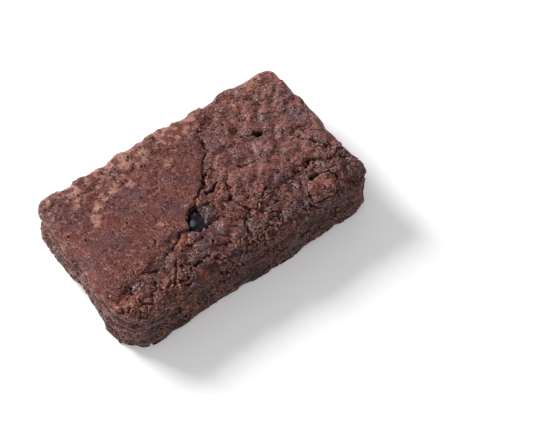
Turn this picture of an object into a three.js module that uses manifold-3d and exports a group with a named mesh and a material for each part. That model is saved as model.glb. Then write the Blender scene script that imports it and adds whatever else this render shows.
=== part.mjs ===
// A chocolate brownie: one bar of dense baked cake, whose thin smooth crust has broken away from the
// right half and the front of its top, so that the coarse crumb shows there.
// Millimetres, +Z up. +X runs along the bar and -Y is its long front side. The origin is the centre of
// the flat base that the bar was baked on.

import * as THREE from "three";
import { mergeVertices } from "three/addons/utils/BufferGeometryUtils.js";
import { ImprovedNoise } from "three/addons/math/ImprovedNoise.js";
import Module from "manifold-3d";

// Driving dimensions of the bar
const LENGTH = 87;
const WIDTH = 50.6;
const HEIGHT = 19.4;

// Roundness: the upright corners, the top edge, how far the base draws in, and the lip of crust above it
const CORNER_RADII = { front: { left: 7, right: 5.5 }, back: { left: 5, right: 3.2 } };
const TOP_EDGE_RADII = { front: 4.6, elsewhere: 2.8 };
const BASE_DRAW_IN = { depth: 0.8, height: 4.5 };
const LIP = { overhang: 0.5, height: 4.5, full: 2 };

// Spacing of the points of the skin, and how far it runs below the base before it is cut flat
const GRID = 1.42;
const TRIM = 2;

// The edge of the unbroken crust, seen from above: how far back it lies at places along the bar. The
// crust covers what is behind it. It wanders by a small noise, beside a groove.
const CRUST_EDGE = [
  [-47, -16.5], [-36, -15.2], [-30, -13.8], [-25.6, -10.6], [-20, -9.6], [-11, -10.2], [-6.6, -4.5],
  [-2.1, -1.4], [2.1, 3.4], [6.1, 8.5], [9.9, 14.7], [14.5, 19.5], [19, 30],
];
const CRUST_EDGE_WANDER = { height: 0.8, wavelength: 4.5 };
const CRUST_GROOVE = { depth: 0.35, halfWidth: 1.2 };
const CRUST_RISE = 0.35;
const CRUST_BLEND = 0.8;

// Hollows and raised plates of the top: centre, half sizes, turn in degrees, height above the top, and
// the depth of the trench round a plate
const HOLLOWS = [
  { x: -8.0, y: -7.8, along: 4.3, across: 2.5, turn: 58, height: -2.7 },
  { x: 19.6, y: 10.6, along: 2.0, across: 1.5, turn: 20, height: -1.2 },
];
const PLATES = [
  { x: 27.6, y: -20.8, along: 4.7, across: 4.0, turn: -40, height: 0.8, trench: 0.9 },
  { x: 38.4, y: -21.2, along: 4.6, across: 4.2, turn: -70, height: 0.5, trench: 0.3 },
  { x: -38.5, y: -21.6, along: 5.2, across: 3.4, turn: 15, height: 0.6, trench: 0.7 },
];
const HOLLOW_WALL = { foot: 0.55, rim: 1.15 };
const PLATE_WALL = { top: 0.85, foot: 1.05 };
const PLATE_TRENCH = { middle: 1.15, halfWidth: 0.28 };
const PLATE_WANDER = { height: 0.12, wavelength: 3 };

// The coarse crumb: size of its lumps, how high they stand, and the cracks between them
const TOP_CRUMB = { size: 5.2, height: 1.3, crack: 0.75, crackShare: 0.3 };
const SIDE_CRUMB = { size: 6.4, height: 0.9, crack: 0.55, crackShare: 0.24 };
const LUMP_MEAN = 0.35;

// Gentle waves on each surface: height and wavelength, and the sides' stretch into level bands
const CRUST_WAVES = [{ height: 0.35, wavelength: 13 }, { height: 0.16, wavelength: 4 }];
const CRUMB_WAVES = [{ height: 0.5, wavelength: 9 }, { height: 0.3, wavelength: 3 }];
const SIDE_WAVES = [{ height: 0.5, wavelength: 7 }];
const SIDE_BANDING = new THREE.Vector3(0.6, 0.6, 1.35);

// Bulges and dents of the four sides: place along the side, half width, and how far it stands out
const LEFT_SWELLS = [[-16, 6, 1.0], [-9, 8, 1.2], [2, 4, -0.7], [12, 6, 0.3], [22, 5, -0.2]];
const RIGHT_SWELLS = [[-6, 6, -0.5], [10, 6, 0.4]];
const FRONT_SWELLS = [[-34, 12, 0.8], [-8, 9, 0.4], [12, 14, 0.9]];
const BACK_SWELLS = [[-28, 7, 0.3], [-6, 7, 0.5], [9, 3, -0.6], [26, 6, 0.4]];
const SWELL_REACH = 9;

const QUARTER_TURN = Math.PI / 2;
const ROUNDING_ERROR = 1e-4;
const NEIGHBOURS = [-1, 0, 1];
const { clamp, degToRad, lerp, seededRandom, smoothstep } = THREE.MathUtils;

const noiseTable = new ImprovedNoise();
const wasm = await Module();
wasm.setup();

// Smooth noise from -1 to 1 at a point, with features about as far apart as the wavelength. Each shift
// gives another pattern.
function noise(point, wavelength, shift = 0) {
  const { x, y, z } = point.clone().divideScalar(wavelength);
  return noiseTable.noise(x + shift, y + 1.7 * shift, z - shift);
}

// The sum of several noises.
function waves(point, list) {
  return list.reduce((sum, { height, wavelength }) => sum + height * noise(point, wavelength, wavelength), 0);
}

// A bell of height 1 at 0 that has sunk to nothing at 1.
function bell(t) {
  return t < 1 ? (1 - t * t) ** 2 : 0;
}

// The middle of the one lump in a cell of a grid of unit cells.
function lumpMiddle(cell) {
  const seed = (cell.x * 73856093) ^ (cell.y * 19349663) ^ (cell.z * 83492791);
  return cell.clone().add(new THREE.Vector3(seededRandom(seed), seededRandom(), seededRandom()));
}

// Distances from a point to the nearest lump's middle, and from there on to the second nearest, both in
// lump sizes.
function nearestLump(point, size) {
  const place = point.clone().divideScalar(size);
  const home = place.clone().floor();
  const steps = NEIGHBOURS.flatMap((x) => NEIGHBOURS.flatMap((y) => NEIGHBOURS.map((z) => [x, y, z])));
  const distances = steps.map((step) => {
    const cell = home.clone().add(new THREE.Vector3(...step));
    return place.distanceTo(lumpMiddle(cell));
  });
  distances.sort((a, b) => a - b);
  return { near: distances[0], gap: distances[1] - distances[0] };
}

// Relief of broken cake: rounded lumps with cracks between them.
function brokenCake(point, { size, height, crack, crackShare }) {
  const { near, gap } = nearestLump(point, size);
  return height * (LUMP_MEAN - near * near) - crack * bell(gap / crackShare);
}

// How far two faces that meet at a sharp edge draw back once it is rounded, and how far the skin has
// turned there. The place is measured across the edge: negative on the first face, positive on the second.
function roundEdge(place, radius) {
  if (place <= -radius) {
    return { first: -place, second: 0, turn: 0 };
  }
  if (place >= radius) {
    return { first: 0, second: place, turn: QUARTER_TURN };
  }
  const turn = (place / radius + 1) * (QUARTER_TURN / 2);
  return { first: radius * (1 - Math.sin(turn)), second: radius * (1 - Math.cos(turn)), turn };
}

// The radius of the upright corner that is nearest to a point.
function cornerRadius(x, y) {
  const ends = y < 0 ? CORNER_RADII.front : CORNER_RADII.back;
  return x < 0 ? ends.left : ends.right;
}

// Where a point of the sharp rectangle, seen from above, lands once its corners are round.
function roundedOutline(x, y) {
  const fromEnd = LENGTH / 2 - Math.abs(x);
  const fromSide = WIDTH / 2 - Math.abs(y);
  const { first, second } = roundEdge(fromEnd - fromSide, cornerRadius(x, y));
  return new THREE.Vector2(Math.sign(x) * (LENGTH / 2 - second), Math.sign(y) * (WIDTH / 2 - first));
}

// The distance in from the rounded outline, and the way out to it.
function insetFromOutline({ x, y }) {
  const radius = cornerRadius(x, y);
  const corner = new THREE.Vector3(Math.abs(x) - LENGTH / 2 + radius, Math.abs(y) - WIDTH / 2 + radius, 0);
  const toEnd = corner.x > corner.y;
  const inCorner = Math.min(corner.x, corner.y) > 0;
  const inset = radius - (inCorner ? corner.length() : Math.max(corner.x, corner.y));
  const out = inCorner ? corner.normalize() : new THREE.Vector3(toEnd ? 1 : 0, toEnd ? 0 : 1, 0);
  out.multiply(new THREE.Vector3(Math.sign(x), Math.sign(y), 0));
  return { inset: Math.max(0, inset), out };
}

// The radius of the top edge, which is rounder along the front side.
function topEdgeRadius(out) {
  return lerp(TOP_EDGE_RADII.elsewhere, TOP_EDGE_RADII.front, Math.max(0, -out.y) ** 2);
}

// How far one side stands out of its plane, from its list of bulges and dents.
function swell(swells, place) {
  return swells.reduce(
    (sum, [centre, halfWidth, height]) => sum + height * bell(Math.abs(place - centre) / halfWidth),
    0,
  );
}

// The bulge of the sides at a point, blended round the upright corners by the way that the side faces.
function sideSwell(point, out) {
  const lengthwise = out.x < 0 ? swell(LEFT_SWELLS, point.y) : swell(RIGHT_SWELLS, point.y);
  const crosswise = out.y < 0 ? swell(FRONT_SWELLS, point.x) : swell(BACK_SWELLS, point.x);
  return out.x ** 2 * lengthwise + out.y ** 2 * crosswise;
}

// Distance from the edge of the unbroken crust: positive on the crust and negative on the bare crumb.
function insideCrust(point) {
  const next = CRUST_EDGE.findIndex(([x]) => x > point.x);
  if (next < 0) {
    return -LENGTH;
  }
  const [x1, y1] = CRUST_EDGE[Math.max(next, 1)];
  const [x0, y0] = CRUST_EDGE[Math.max(next, 1) - 1];
  const slope = (y1 - y0) / (x1 - x0);
  const behind = (point.y - y0 - slope * (point.x - x0)) / Math.hypot(1, slope);
  return behind + CRUST_EDGE_WANDER.height * noise(point, CRUST_EDGE_WANDER.wavelength);
}

// How far a point lies from the middle of an oval feature, as a share of the oval's own size.
function ovalShare(point, { x, y, along, across, turn }) {
  const local = new THREE.Vector2(point.x - x, point.y - y);
  local.rotateAround(new THREE.Vector2(), -degToRad(turn));
  return Math.hypot(local.x / along, local.y / across);
}

// A hollow with steep walls.
function hollow(point, feature) {
  return feature.height * (1 - smoothstep(ovalShare(point, feature), HOLLOW_WALL.foot, HOLLOW_WALL.rim));
}

// A plate of crust that stands up inside a narrow trench.
function plate(point, feature) {
  const wander = PLATE_WANDER.height * noise(point, PLATE_WANDER.wavelength, feature.x);
  const share = ovalShare(point, feature) + wander;
  const rise = feature.height * (1 - smoothstep(share, PLATE_WALL.top, PLATE_WALL.foot));
  return rise - feature.trench * bell(Math.abs(share - PLATE_TRENCH.middle) / PLATE_TRENCH.halfWidth);
}

// Relief of the top: smooth crust, the groove along its broken edge, coarse lumps past it, and the
// hollows and plates.
function topRelief(point) {
  const inside = insideCrust(point);
  const crust = CRUST_RISE + waves(point, CRUST_WAVES);
  const crumb = brokenCake(point, TOP_CRUMB) + waves(point, CRUMB_WAVES);
  const groove = CRUST_GROOVE.depth * bell(Math.abs(inside) / CRUST_GROOVE.halfWidth);
  const hollows = HOLLOWS.reduce((sum, feature) => sum + hollow(point, feature), 0);
  const plates = PLATES.reduce((sum, feature) => sum + plate(point, feature), 0);
  return lerp(crumb, crust, smoothstep(inside, -CRUST_BLEND, CRUST_BLEND)) - groove + hollows + plates;
}

// Relief of the sides: the lip of crust at the top, and lumps and dents that lie in level bands.
function sideRelief(point) {
  const banded = point.clone().multiply(SIDE_BANDING);
  const lip = LIP.overhang * (smoothstep(point.z, HEIGHT - LIP.height, HEIGHT - LIP.full) - 0.5);
  return brokenCake(banded, SIDE_CRUMB) + waves(banded, SIDE_WAVES) + lip;
}

// Moves a point of the sharp block to where it lies on the finished bar.
function bake(sharp) {
  const ring = Math.max(Math.abs(sharp.x) / (LENGTH / 2), Math.abs(sharp.y) / (WIDTH / 2));
  const onSide = ring > 1 - ROUNDING_ERROR;
  const rim = ring > 0 ? roundedOutline(sharp.x / ring, sharp.y / ring) : new THREE.Vector2();
  const plan = rim.multiplyScalar(ring);
  if (!onSide && sharp.z < 0) {
    return new THREE.Vector3(plan.x, plan.y, sharp.z);
  }
  const { inset, out } = insetFromOutline(plan);
  const edge = roundEdge(onSide ? HEIGHT - sharp.z : -inset, topEdgeRadius(out));
  const skin = new THREE.Vector3(plan.x, plan.y, HEIGHT - edge.second);
  const drawIn = BASE_DRAW_IN.depth * clamp(1 - skin.z / BASE_DRAW_IN.height, 0, 1) ** 2;
  skin.addScaledVector(out, inset - edge.first - drawIn);
  skin.addScaledVector(out, sideSwell(skin, out) * (1 - smoothstep(inset, 0, SWELL_REACH)));
  const upward = Math.cos(edge.turn);
  const normal = out.clone().multiplyScalar(Math.sin(edge.turn)).setZ(upward);
  return skin.addScaledVector(normal, lerp(sideRelief(skin), topRelief(skin), upward ** 2));
}

// A three.js geometry as a solid that can be cut.
function solidOf(geometry) {
  geometry.deleteAttribute("normal");
  geometry.deleteAttribute("uv");
  const merged = mergeVertices(geometry);
  return new wasm.Manifold(new wasm.Mesh({
    numProp: 3,
    vertProperties: merged.attributes.position.array,
    triVerts: new Uint32Array(merged.index.array),
  }));
}

// A solid as a three.js geometry, moved so that the middle of its box stands over the origin.
function geometryOf(solid) {
  const mesh = solid.getMesh();
  const geometry = new THREE.BufferGeometry()
    .setAttribute("position", new THREE.BufferAttribute(mesh.vertProperties, 3))
    .setIndex(new THREE.BufferAttribute(mesh.triVerts, 1));
  geometry.computeBoundingBox();
  const middle = geometry.boundingBox.getCenter(new THREE.Vector3());
  geometry.translate(-middle.x, -middle.y, 0);
  geometry.computeVertexNormals();
  return geometry;
}

// The bar's block, a little deeper than the bar is high, with each point moved to its place on the bar.
function bakedBar() {
  const depth = HEIGHT + TRIM;
  const block = new THREE.BoxGeometry(
    LENGTH, WIDTH, depth,
    Math.round(LENGTH / GRID), Math.round(WIDTH / GRID), Math.round(depth / GRID),
  ).translate(0, 0, depth / 2 - TRIM);
  const positions = block.attributes.position;
  for (let i = 0; i < positions.count; i += 1) {
    const baked = bake(new THREE.Vector3().fromBufferAttribute(positions, i));
    positions.setXYZ(i, baked.x, baked.y, baked.z);
  }
  return solidOf(block);
}

// Everything below the flat base, which is cut away.
function belowBase() {
  const depth = 4 * TRIM;
  return solidOf(new THREE.BoxGeometry(2 * LENGTH, 2 * WIDTH, depth).translate(0, 0, -depth / 2));
}

const cake = new THREE.MeshStandardMaterial({ color: 0x5c3a33, roughness: 0.8, metalness: 0 });
const brownie = new THREE.Mesh(geometryOf(bakedBar().subtract(belowBase())), cake);
brownie.name = "brownie";

const bar = new THREE.Group();
bar.add(brownie);

export default bar;
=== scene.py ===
"""A chocolate brownie: a bar of dense baked cake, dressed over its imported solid.

The bar is remeshed finely from its solid and carved: a smooth thin crust on the left and back of the
top, its broken edge, porous and coarse crumb past it, cracks, a pit that holds melted chocolate, and
dense baked sides. Crumbs, thin flakes of crust and melted chocolate are pieces of their own.

Lengths are in millimetres inside the classes, and in metres in the meshes.
"""

import logging
import math
from collections.abc import Callable
from dataclasses import dataclass
from enum import Enum

import bpy
import numpy as np
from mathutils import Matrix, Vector


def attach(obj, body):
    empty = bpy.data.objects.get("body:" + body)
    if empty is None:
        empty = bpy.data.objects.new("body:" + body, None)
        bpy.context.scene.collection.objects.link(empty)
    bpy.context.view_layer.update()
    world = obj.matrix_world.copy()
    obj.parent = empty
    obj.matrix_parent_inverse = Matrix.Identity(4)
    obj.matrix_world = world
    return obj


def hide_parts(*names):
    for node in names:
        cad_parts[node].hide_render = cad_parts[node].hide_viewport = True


MM = 0.001
BAR = "brownie"
BODY = "root"
STREAK = np.array([0.8, -0.6, 0.0])
FAR = 1e9
WHITE = (1.0, 1.0, 1.0, 1.0)
log = logging.getLogger("brownie")

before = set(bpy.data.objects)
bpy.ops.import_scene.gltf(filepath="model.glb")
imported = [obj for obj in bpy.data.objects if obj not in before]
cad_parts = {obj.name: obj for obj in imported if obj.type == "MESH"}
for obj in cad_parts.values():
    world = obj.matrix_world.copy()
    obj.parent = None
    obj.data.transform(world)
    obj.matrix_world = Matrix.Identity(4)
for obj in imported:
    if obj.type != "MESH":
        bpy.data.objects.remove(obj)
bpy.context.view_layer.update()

Point = tuple[float, float, float]
Colour = tuple[float, float, float, float]


# Numbers and noise

def ramp(value: np.ndarray, low: float, high: float) -> np.ndarray:
    """Rise smoothly from 0 at low to 1 at high.

    Args:
        value: Any array.
        low: Where the rise starts.
        high: Where it ends.

    Returns:
        An array of the same shape, from 0 to 1.
    """
    t = np.clip((value - low) / (high - low), 0.0, 1.0)
    return t * t * (3.0 - 2.0 * t)


def bell(t: np.ndarray) -> np.ndarray:
    """Fall smoothly from 1 at 0 to nothing at 1 and beyond."""
    return np.where(t < 1.0, (1.0 - np.minimum(t, 1.0) ** 2) ** 2, 0.0)


def mix(first: np.ndarray, second: np.ndarray, share: np.ndarray) -> np.ndarray:
    """Blend two arrays by a share from 0 to 1."""
    return first + (second - first) * share


def cell_numbers(cells: np.ndarray, seed: int, count: int) -> np.ndarray:
    """Give each whole-numbered cell its own random numbers.

    Args:
        cells: Whole numbers, three for each row.
        seed: Another seed gives other numbers.
        count: How many numbers each cell gets.

    Returns:
        Numbers from 0 to 1, count for each row.
    """
    whole = cells.astype(np.int64).astype(np.uint32)
    mixed = whole[:, 0] * np.uint32(73856093) ^ whole[:, 1] * np.uint32(19349663)
    mixed ^= whole[:, 2] * np.uint32(83492791)
    columns = []
    for k in range(count):
        h = mixed + np.uint32((seed * 2654435761 + k * 40503 * 977) & 0xFFFFFFFF)
        h ^= h >> np.uint32(16)
        h *= np.uint32(0x7FEB352D)
        h ^= h >> np.uint32(15)
        h *= np.uint32(0x846CA68B)
        h ^= h >> np.uint32(16)
        columns.append(h.astype(np.float64) / 0xFFFFFFFF)
    return np.stack(columns, axis=1)


def noise(points: np.ndarray, size: float, seed: int) -> np.ndarray:
    """Smooth noise in space.

    Args:
        points: Places in millimetres, three numbers a row.
        size: Distance between the noise's knots, in millimetres.
        seed: Another seed gives another pattern.

    Returns:
        One number from -1 to 1 for each place.
    """
    place = points / size
    base = np.floor(place)
    t = place - base
    t = t * t * t * (t * (t * 6.0 - 15.0) + 10.0)
    total = np.zeros(len(points))
    for corner in np.ndindex(2, 2, 2):
        step = np.array(corner, dtype=float)
        weight = np.prod(np.where(step == 1.0, t, 1.0 - t), axis=1)
        total += weight * cell_numbers(base + step, seed, 1)[:, 0]
    return total * 2.0 - 1.0


def ragged(points: np.ndarray, size: float, seed: int, height: float) -> np.ndarray:
    """Relief of torn cake: noises that halve in size and lose a third of their height each time."""
    return height * sum(0.66 ** k * noise(points, size / 2 ** k, seed + 31 * k) for k in range(4))


def crevices(points: np.ndarray, size: float, seed: int, depth: float, width: float,
             share: float = 0.5) -> np.ndarray:
    """Narrow wandering crevices that open and close again.

    Args:
        points: Places in millimetres.
        size: How far apart they run.
        seed: Another seed gives others.
        depth: Depth of the deepest.
        width: Their width as a share of the size.
        share: Share of the surface where they are open.

    Returns:
        Height of the relief, never above 0.
    """
    middle = 0.7 - 1.4 * share
    opened = ramp(noise(points, 1.3 * size, seed + 3), middle - 0.12, middle + 0.2)
    course = noise(points, size, seed) + 0.3 * noise(points, 0.45 * size, seed + 5)
    return -depth * opened * bell(np.abs(course) / width)


@dataclass
class Lumps:
    """What surrounds each place in a packing of random lumps."""

    near: np.ndarray
    away: np.ndarray
    own: np.ndarray


def lumps(points: np.ndarray, size: float, seed: int) -> Lumps:
    """Find the nearest lump of each place.

    Args:
        points: Places in millimetres.
        size: Mean distance between lumps.
        seed: Another seed gives another packing.

    Returns:
        The distance to the nearest middle as a share of the size, the way from it in millimetres, and
        four random numbers of that lump.
    """
    place = points / size
    home = np.floor(place)
    near = np.full(len(points), FAR)
    away = np.zeros((len(points), 3))
    owner = np.zeros((len(points), 3))
    for corner in np.ndindex(3, 3, 3):
        cell = home + np.array(corner) - 1.0
        offset = place - (cell + cell_numbers(cell, seed, 3))
        reach = np.linalg.norm(offset, axis=1)
        closer = reach < near
        near = np.where(closer, reach, near)
        away[closer] = offset[closer]
        owner[closer] = cell[closer]
    return Lumps(near, away * size, cell_numbers(owner, seed + 7, 4))


def layers(points: np.ndarray, size: float, seed: int, height: float) -> np.ndarray:
    """Relief of flaked layers: level patches with a sharp ledge from each to the next.

    Args:
        points: Places in millimetres.
        size: Mean size of a patch.
        seed: Another seed gives others.
        height: Height of one ledge.

    Returns:
        Height of the relief in millimetres.
    """
    lie = noise(points, size, seed) + 0.35 * noise(points, 0.4 * size, seed + 1)
    return height * (sum(ramp(lie, ledge, ledge + 0.07) for ledge in (-0.42, -0.14, 0.12, 0.4)) - 2.0)


def facets(points: np.ndarray, size: float, seed: int, height: float, tilt: float) -> np.ndarray:
    """Relief of broken cake: tilted facets, each at a height of its own.

    Args:
        points: Places in millimetres.
        size: Mean size of a facet.
        seed: Another seed gives others.
        height: How far apart their heights lie.
        tilt: Slope of the steepest.

    Returns:
        Height of the relief in millimetres.
    """
    found = lumps(points, size, seed)
    slope = (found.own[:, 1:4] - 0.5) * 2.0 * tilt
    return height * (found.own[:, 0] - 0.5) + np.sum(found.away * slope, axis=1)


def streaked(points: np.ndarray, squeeze: float) -> np.ndarray:
    """Squeeze places along the way the cake's layers run, so that a pattern comes out longer that way."""
    return points - squeeze * (points @ STREAK)[:, None] * STREAK


def pores(points: np.ndarray, size: float, seed: int, share: float, radius: float, depth: float,
          rim: float = 0.0) -> np.ndarray:
    """Small round pits, one at most for each lump.

    Args:
        points: Places in millimetres.
        size: Mean distance between the places where a pit may be.
        seed: Another seed gives other pits.
        share: Share of those places that have one.
        radius: Radius of the largest.
        depth: Depth of the deepest.
        rim: Height of the raised rim round the largest.

    Returns:
        Height of the relief.
    """
    found = lumps(points, size, seed)
    reach = found.near * size / (radius * (0.45 + 0.55 * found.own[:, 1]))
    pit = rim * bell(np.abs(reach - 1.25) / 0.6) - depth * bell(reach)
    return np.where(found.own[:, 0] < share, pit * (0.4 + 0.6 * found.own[:, 2]), 0.0)


def where_shown(share: np.ndarray, points: np.ndarray,
                relief: Callable[[np.ndarray], np.ndarray]) -> np.ndarray:
    """Work a relief out only where its share isn't nothing.

    Args:
        share: How strong the relief is at each place.
        points: The places.
        relief: Gives the relief's height at places.

    Returns:
        The height at each place, times its share.
    """
    height = np.zeros(len(points))
    shown = share > 0.0
    height[shown] = share[shown] * relief(points[shown])
    return height


def distance_to_line(points: np.ndarray, line: np.ndarray) -> np.ndarray:
    """Distance from each place to a chain of straight stretches.

    Args:
        points: Places, three numbers a row.
        line: The chain's corners.

    Returns:
        The shortest distances.
    """
    best = np.full(len(points), FAR)
    for start, end in zip(line[:-1], line[1:]):
        along = end - start
        t = np.clip((points - start) @ along / (along @ along), 0.0, 1.0)
        best = np.minimum(best, np.linalg.norm(points - start - t[:, None] * along, axis=1))
    return best


def depth_in_ring(points: np.ndarray, ring: np.ndarray) -> np.ndarray:
    """How far inside a closed outline each place lies, seen from above.

    Args:
        points: Places, three numbers a row.
        ring: The outline's corners, two numbers a row, the last joined to the first.

    Returns:
        The distance to the outline: positive inside and negative outside.
    """
    best = np.full(len(points), FAR)
    inside = np.zeros(len(points), dtype=bool)
    x, y = points[:, 0], points[:, 1]
    for (x0, y0), (x1, y1) in zip(ring, np.roll(ring, -1, axis=0)):
        run, rise = x1 - x0, y1 - y0
        t = np.clip(((x - x0) * run + (y - y0) * rise) / (run ** 2 + rise ** 2), 0.0, 1.0)
        best = np.minimum(best, np.hypot(x - x0 - t * run, y - y0 - t * rise))
        crosses = (y0 > y) != (y1 > y)
        inside ^= crosses & (x < x0 + run * (y - y0) / np.where(crosses, rise, 1.0))
    return np.where(inside, best, -best)


# Finishes

def paint(red: float, green: float, blue: float) -> Colour:
    """Turn a screen colour of 0 to 255 into a shader's colour.

    Args:
        red: From 0 to 255.
        green: From 0 to 255.
        blue: From 0 to 255.

    Returns:
        The colour, with 1 for its fourth number.
    """
    def straight(c: float) -> float:
        """Turn one of its three numbers into a share of the light."""
        c /= 255.0
        return c / 12.92 if c <= 0.04045 else ((c + 0.055) / 1.055) ** 2.4
    return (straight(red), straight(green), straight(blue), 1.0)


class Palette(Enum):
    """The bar's colours, as seen in plain light, and the painted highlight and painted shade laid over them.
    """

    CRUST = paint(106, 55, 48)
    CRUST_RED = paint(108, 52, 45)
    CRUST_GREY = paint(88, 54, 56)
    CRUST_TAN = paint(176, 127, 112)
    SKIN = paint(132, 78, 73)
    SKIN_RED = paint(84, 27, 20)
    CRUMB = paint(92, 39, 31)
    CRUMB_RED = paint(98, 32, 22)
    RUST = paint(142, 64, 36)
    RUST_TAN = paint(166, 102, 74)
    # Painted highlight: glints, the raised side of the grain and what stands out of the relief.
    PALE = paint(202, 150, 138)
    SLICK = paint(82, 46, 51)
    SLICK_DARK = paint(40, 19, 22)
    DENSE = paint(44, 14, 12)
    DENSE_RED = paint(70, 20, 14)
    SHEEN = paint(88, 66, 74)
    # Painted shade: in hollows, pores, fine dashes of crack and on the low side of the grain.
    VALLEY = paint(40, 10, 6)
    # Painted shade in the deepest hollows; on the loose crumbs, small dark flecks of their own.
    DEEP = paint(10, 2, 2)
    MELT = paint(17, 17, 25)


class Sheet:
    """A material's nodes, laid out by short calls."""

    def __init__(self, name: str) -> None:
        """Start a material with one Principled shader.

        Args:
            name: The material's name.
        """
        self.material = bpy.data.materials.new(name)
        self.material.use_nodes = True
        self.tree = self.material.node_tree
        self.shader = self.tree.nodes["Principled BSDF"]
        self.place = self.tree.nodes.new("ShaderNodeTexCoord").outputs["Object"]

    def streaked(self, squeeze: float) -> bpy.types.NodeSocket:
        """Object places squeezed along the cake's layers, so that a pattern comes out longer that way.

        Args:
            squeeze: Share of the length along the layers that is taken away.

        Returns:
            The squeezed places.
        """
        along = self.tree.nodes.new("ShaderNodeVectorMath")
        along.operation = "DOT_PRODUCT"
        self.link(self.place, along.inputs[0])
        along.inputs[1].default_value = tuple(STREAK)
        back = self.vector("SCALE", tuple(STREAK * squeeze), along.outputs["Value"])
        return self.vector("SUBTRACT", self.place, back)

    def vector(self, kind: str, first: object, second: object) -> bpy.types.NodeSocket:
        """Combine vectors or colours by a Vector Math node of that kind.

        Args:
            kind: The node's operation.
            first: A value or a socket.
            second: A value or a socket.

        Returns:
            The resulting vector.
        """
        node = self.tree.nodes.new("ShaderNodeVectorMath")
        node.operation = kind
        self.put(node.inputs[0], first)
        self.put(node.inputs["Scale"] if kind == "SCALE" else node.inputs[1], second)
        return node.outputs["Vector"]

    def link(self, source: bpy.types.NodeSocket, target: bpy.types.NodeSocket) -> None:
        """Join two sockets."""
        self.tree.links.new(source, target)

    def put(self, socket: bpy.types.NodeSocket, value: object) -> None:
        """Give a socket a link, a colour or a number.

        Args:
            socket: The socket.
            value: A socket to link to it, a named colour or a plain value.
        """
        if isinstance(value, bpy.types.NodeSocket):
            self.link(value, socket)
        elif isinstance(value, Palette):
            socket.default_value = value.value
        else:
            socket.default_value = value

    def attribute(self, name: str) -> bpy.types.NodeSocket:
        """Read one of the mesh's own numbers.

        Args:
            name: The number's name.

        Returns:
            Its value.
        """
        node = self.tree.nodes.new("ShaderNodeAttribute")
        node.attribute_name = name
        return node.outputs["Fac"]

    def noise(self, size: float, detail: float = 2.0, rough: float = 0.5,
              place: bpy.types.NodeSocket | None = None) -> bpy.types.NodeSocket:
        """Noise in space.

        Args:
            size: Size of its features in millimetres.
            detail: How many finer noises are added.
            rough: How strong they are.
            place: The places it is worked out at, if not the object's own.

        Returns:
            A number from 0 to 1.
        """
        node = self.tree.nodes.new("ShaderNodeTexNoise")
        node.inputs["Scale"].default_value = 1.0 / (size * MM)
        node.inputs["Detail"].default_value = detail
        node.inputs["Roughness"].default_value = rough
        self.link(place or self.place, node.inputs["Vector"])
        return node.outputs["Fac"]

    def spots(self, size: float, share: float, radius: float,
              place: bpy.types.NodeSocket | None = None) -> bpy.types.NodeSocket:
        """Random round spots.

        Args:
            size: Mean distance between the places where a spot may be, in millimetres.
            share: Share of those places that have one.
            radius: Radius of a spot, in millimetres.
            place: The places they are worked out at, if not the object's own.

        Returns:
            1 in the middle of a spot and 0 outside.
        """
        node = self.tree.nodes.new("ShaderNodeTexVoronoi")
        node.inputs["Scale"].default_value = 1.0 / (size * MM)
        self.link(place or self.place, node.inputs["Vector"])
        split = self.tree.nodes.new("ShaderNodeSeparateColor")
        self.link(node.outputs["Color"], split.inputs[0])
        inside = self.ease(node.outputs["Distance"], radius / size, 0.6 * radius / size)
        return self.combine("MULTIPLY", inside, self.ease(split.outputs[0], share, 0.7 * share))

    def ease(self, value: bpy.types.NodeSocket, low: float, high: float, start: float = 0.0,
             end: float = 1.0) -> bpy.types.NodeSocket:
        """Map low..high smoothly to start..end.

        Args:
            value: The number.
            low: Where the result starts to change.
            high: Where it ends.
            start: The result up to low.
            end: The result from high on.

        Returns:
            The mapped number.
        """
        node = self.tree.nodes.new("ShaderNodeMapRange")
        node.interpolation_type = "SMOOTHSTEP"
        self.link(value, node.inputs["Value"])
        node.inputs["From Min"].default_value = low
        node.inputs["From Max"].default_value = high
        node.inputs["To Min"].default_value = start
        node.inputs["To Max"].default_value = end
        return node.outputs["Result"]

    def combine(self, kind: str, first: object, second: object) -> bpy.types.NodeSocket:
        """Combine two numbers by a Math node of that kind.

        Args:
            kind: The node's operation.
            first: A value or a socket.
            second: A value or a socket.

        Returns:
            The result.
        """
        node = self.tree.nodes.new("ShaderNodeMath")
        node.operation = kind
        self.put(node.inputs[0], first)
        self.put(node.inputs[1], second)
        return node.outputs[0]

    def blend(self, share: object, first: object, second: object) -> bpy.types.NodeSocket:
        """Blend two colours.

        Args:
            share: How much of the second.
            first: A colour or a socket.
            second: A colour or a socket.

        Returns:
            The blended colour.
        """
        node = self.tree.nodes.new("ShaderNodeMix")
        node.data_type = "RGBA"
        sockets = {s.identifier: s for s in node.inputs}
        self.put(sockets["Factor_Float"], share)
        self.put(sockets["A_Color"], first)
        self.put(sockets["B_Color"], second)
        return next(s for s in node.outputs if s.identifier == "Result_Color")

    def mottle(self, colour: object, tone: object, size: float, low: float, high: float,
               share: float = 1.0, detail: float = 4.0, rough: float = 0.75,
               place: bpy.types.NodeSocket | None = None) -> bpy.types.NodeSocket:
        """Lay a tone over a colour in uneven patches.

        Args:
            colour: The colour under it.
            tone: The colour of the patches.
            size: Their size in millimetres.
            low: Where in the noise the tone starts.
            high: Where it is at its strongest.
            share: How strong it is there.
            detail: How many finer noises are added.
            rough: How strong they are.
            place: The places the noise is worked out at, if not the object's own.

        Returns:
            The mottled colour.
        """
        where = self.ease(self.noise(size, detail, rough, place), low, high, 0.0, share)
        return self.blend(where, colour, tone)

    def bump(self, height: bpy.types.NodeSocket, depth: float) -> None:
        """Bump the shader's surface.

        Args:
            height: A number from 0 to 1.
            depth: The bump's height in millimetres.
        """
        node = self.tree.nodes.new("ShaderNodeBump")
        node.inputs["Strength"].default_value = 1.0
        node.inputs["Distance"].default_value = depth * MM
        self.link(height, node.inputs["Height"])
        self.link(node.outputs["Normal"], self.shader.inputs["Normal"])


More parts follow.
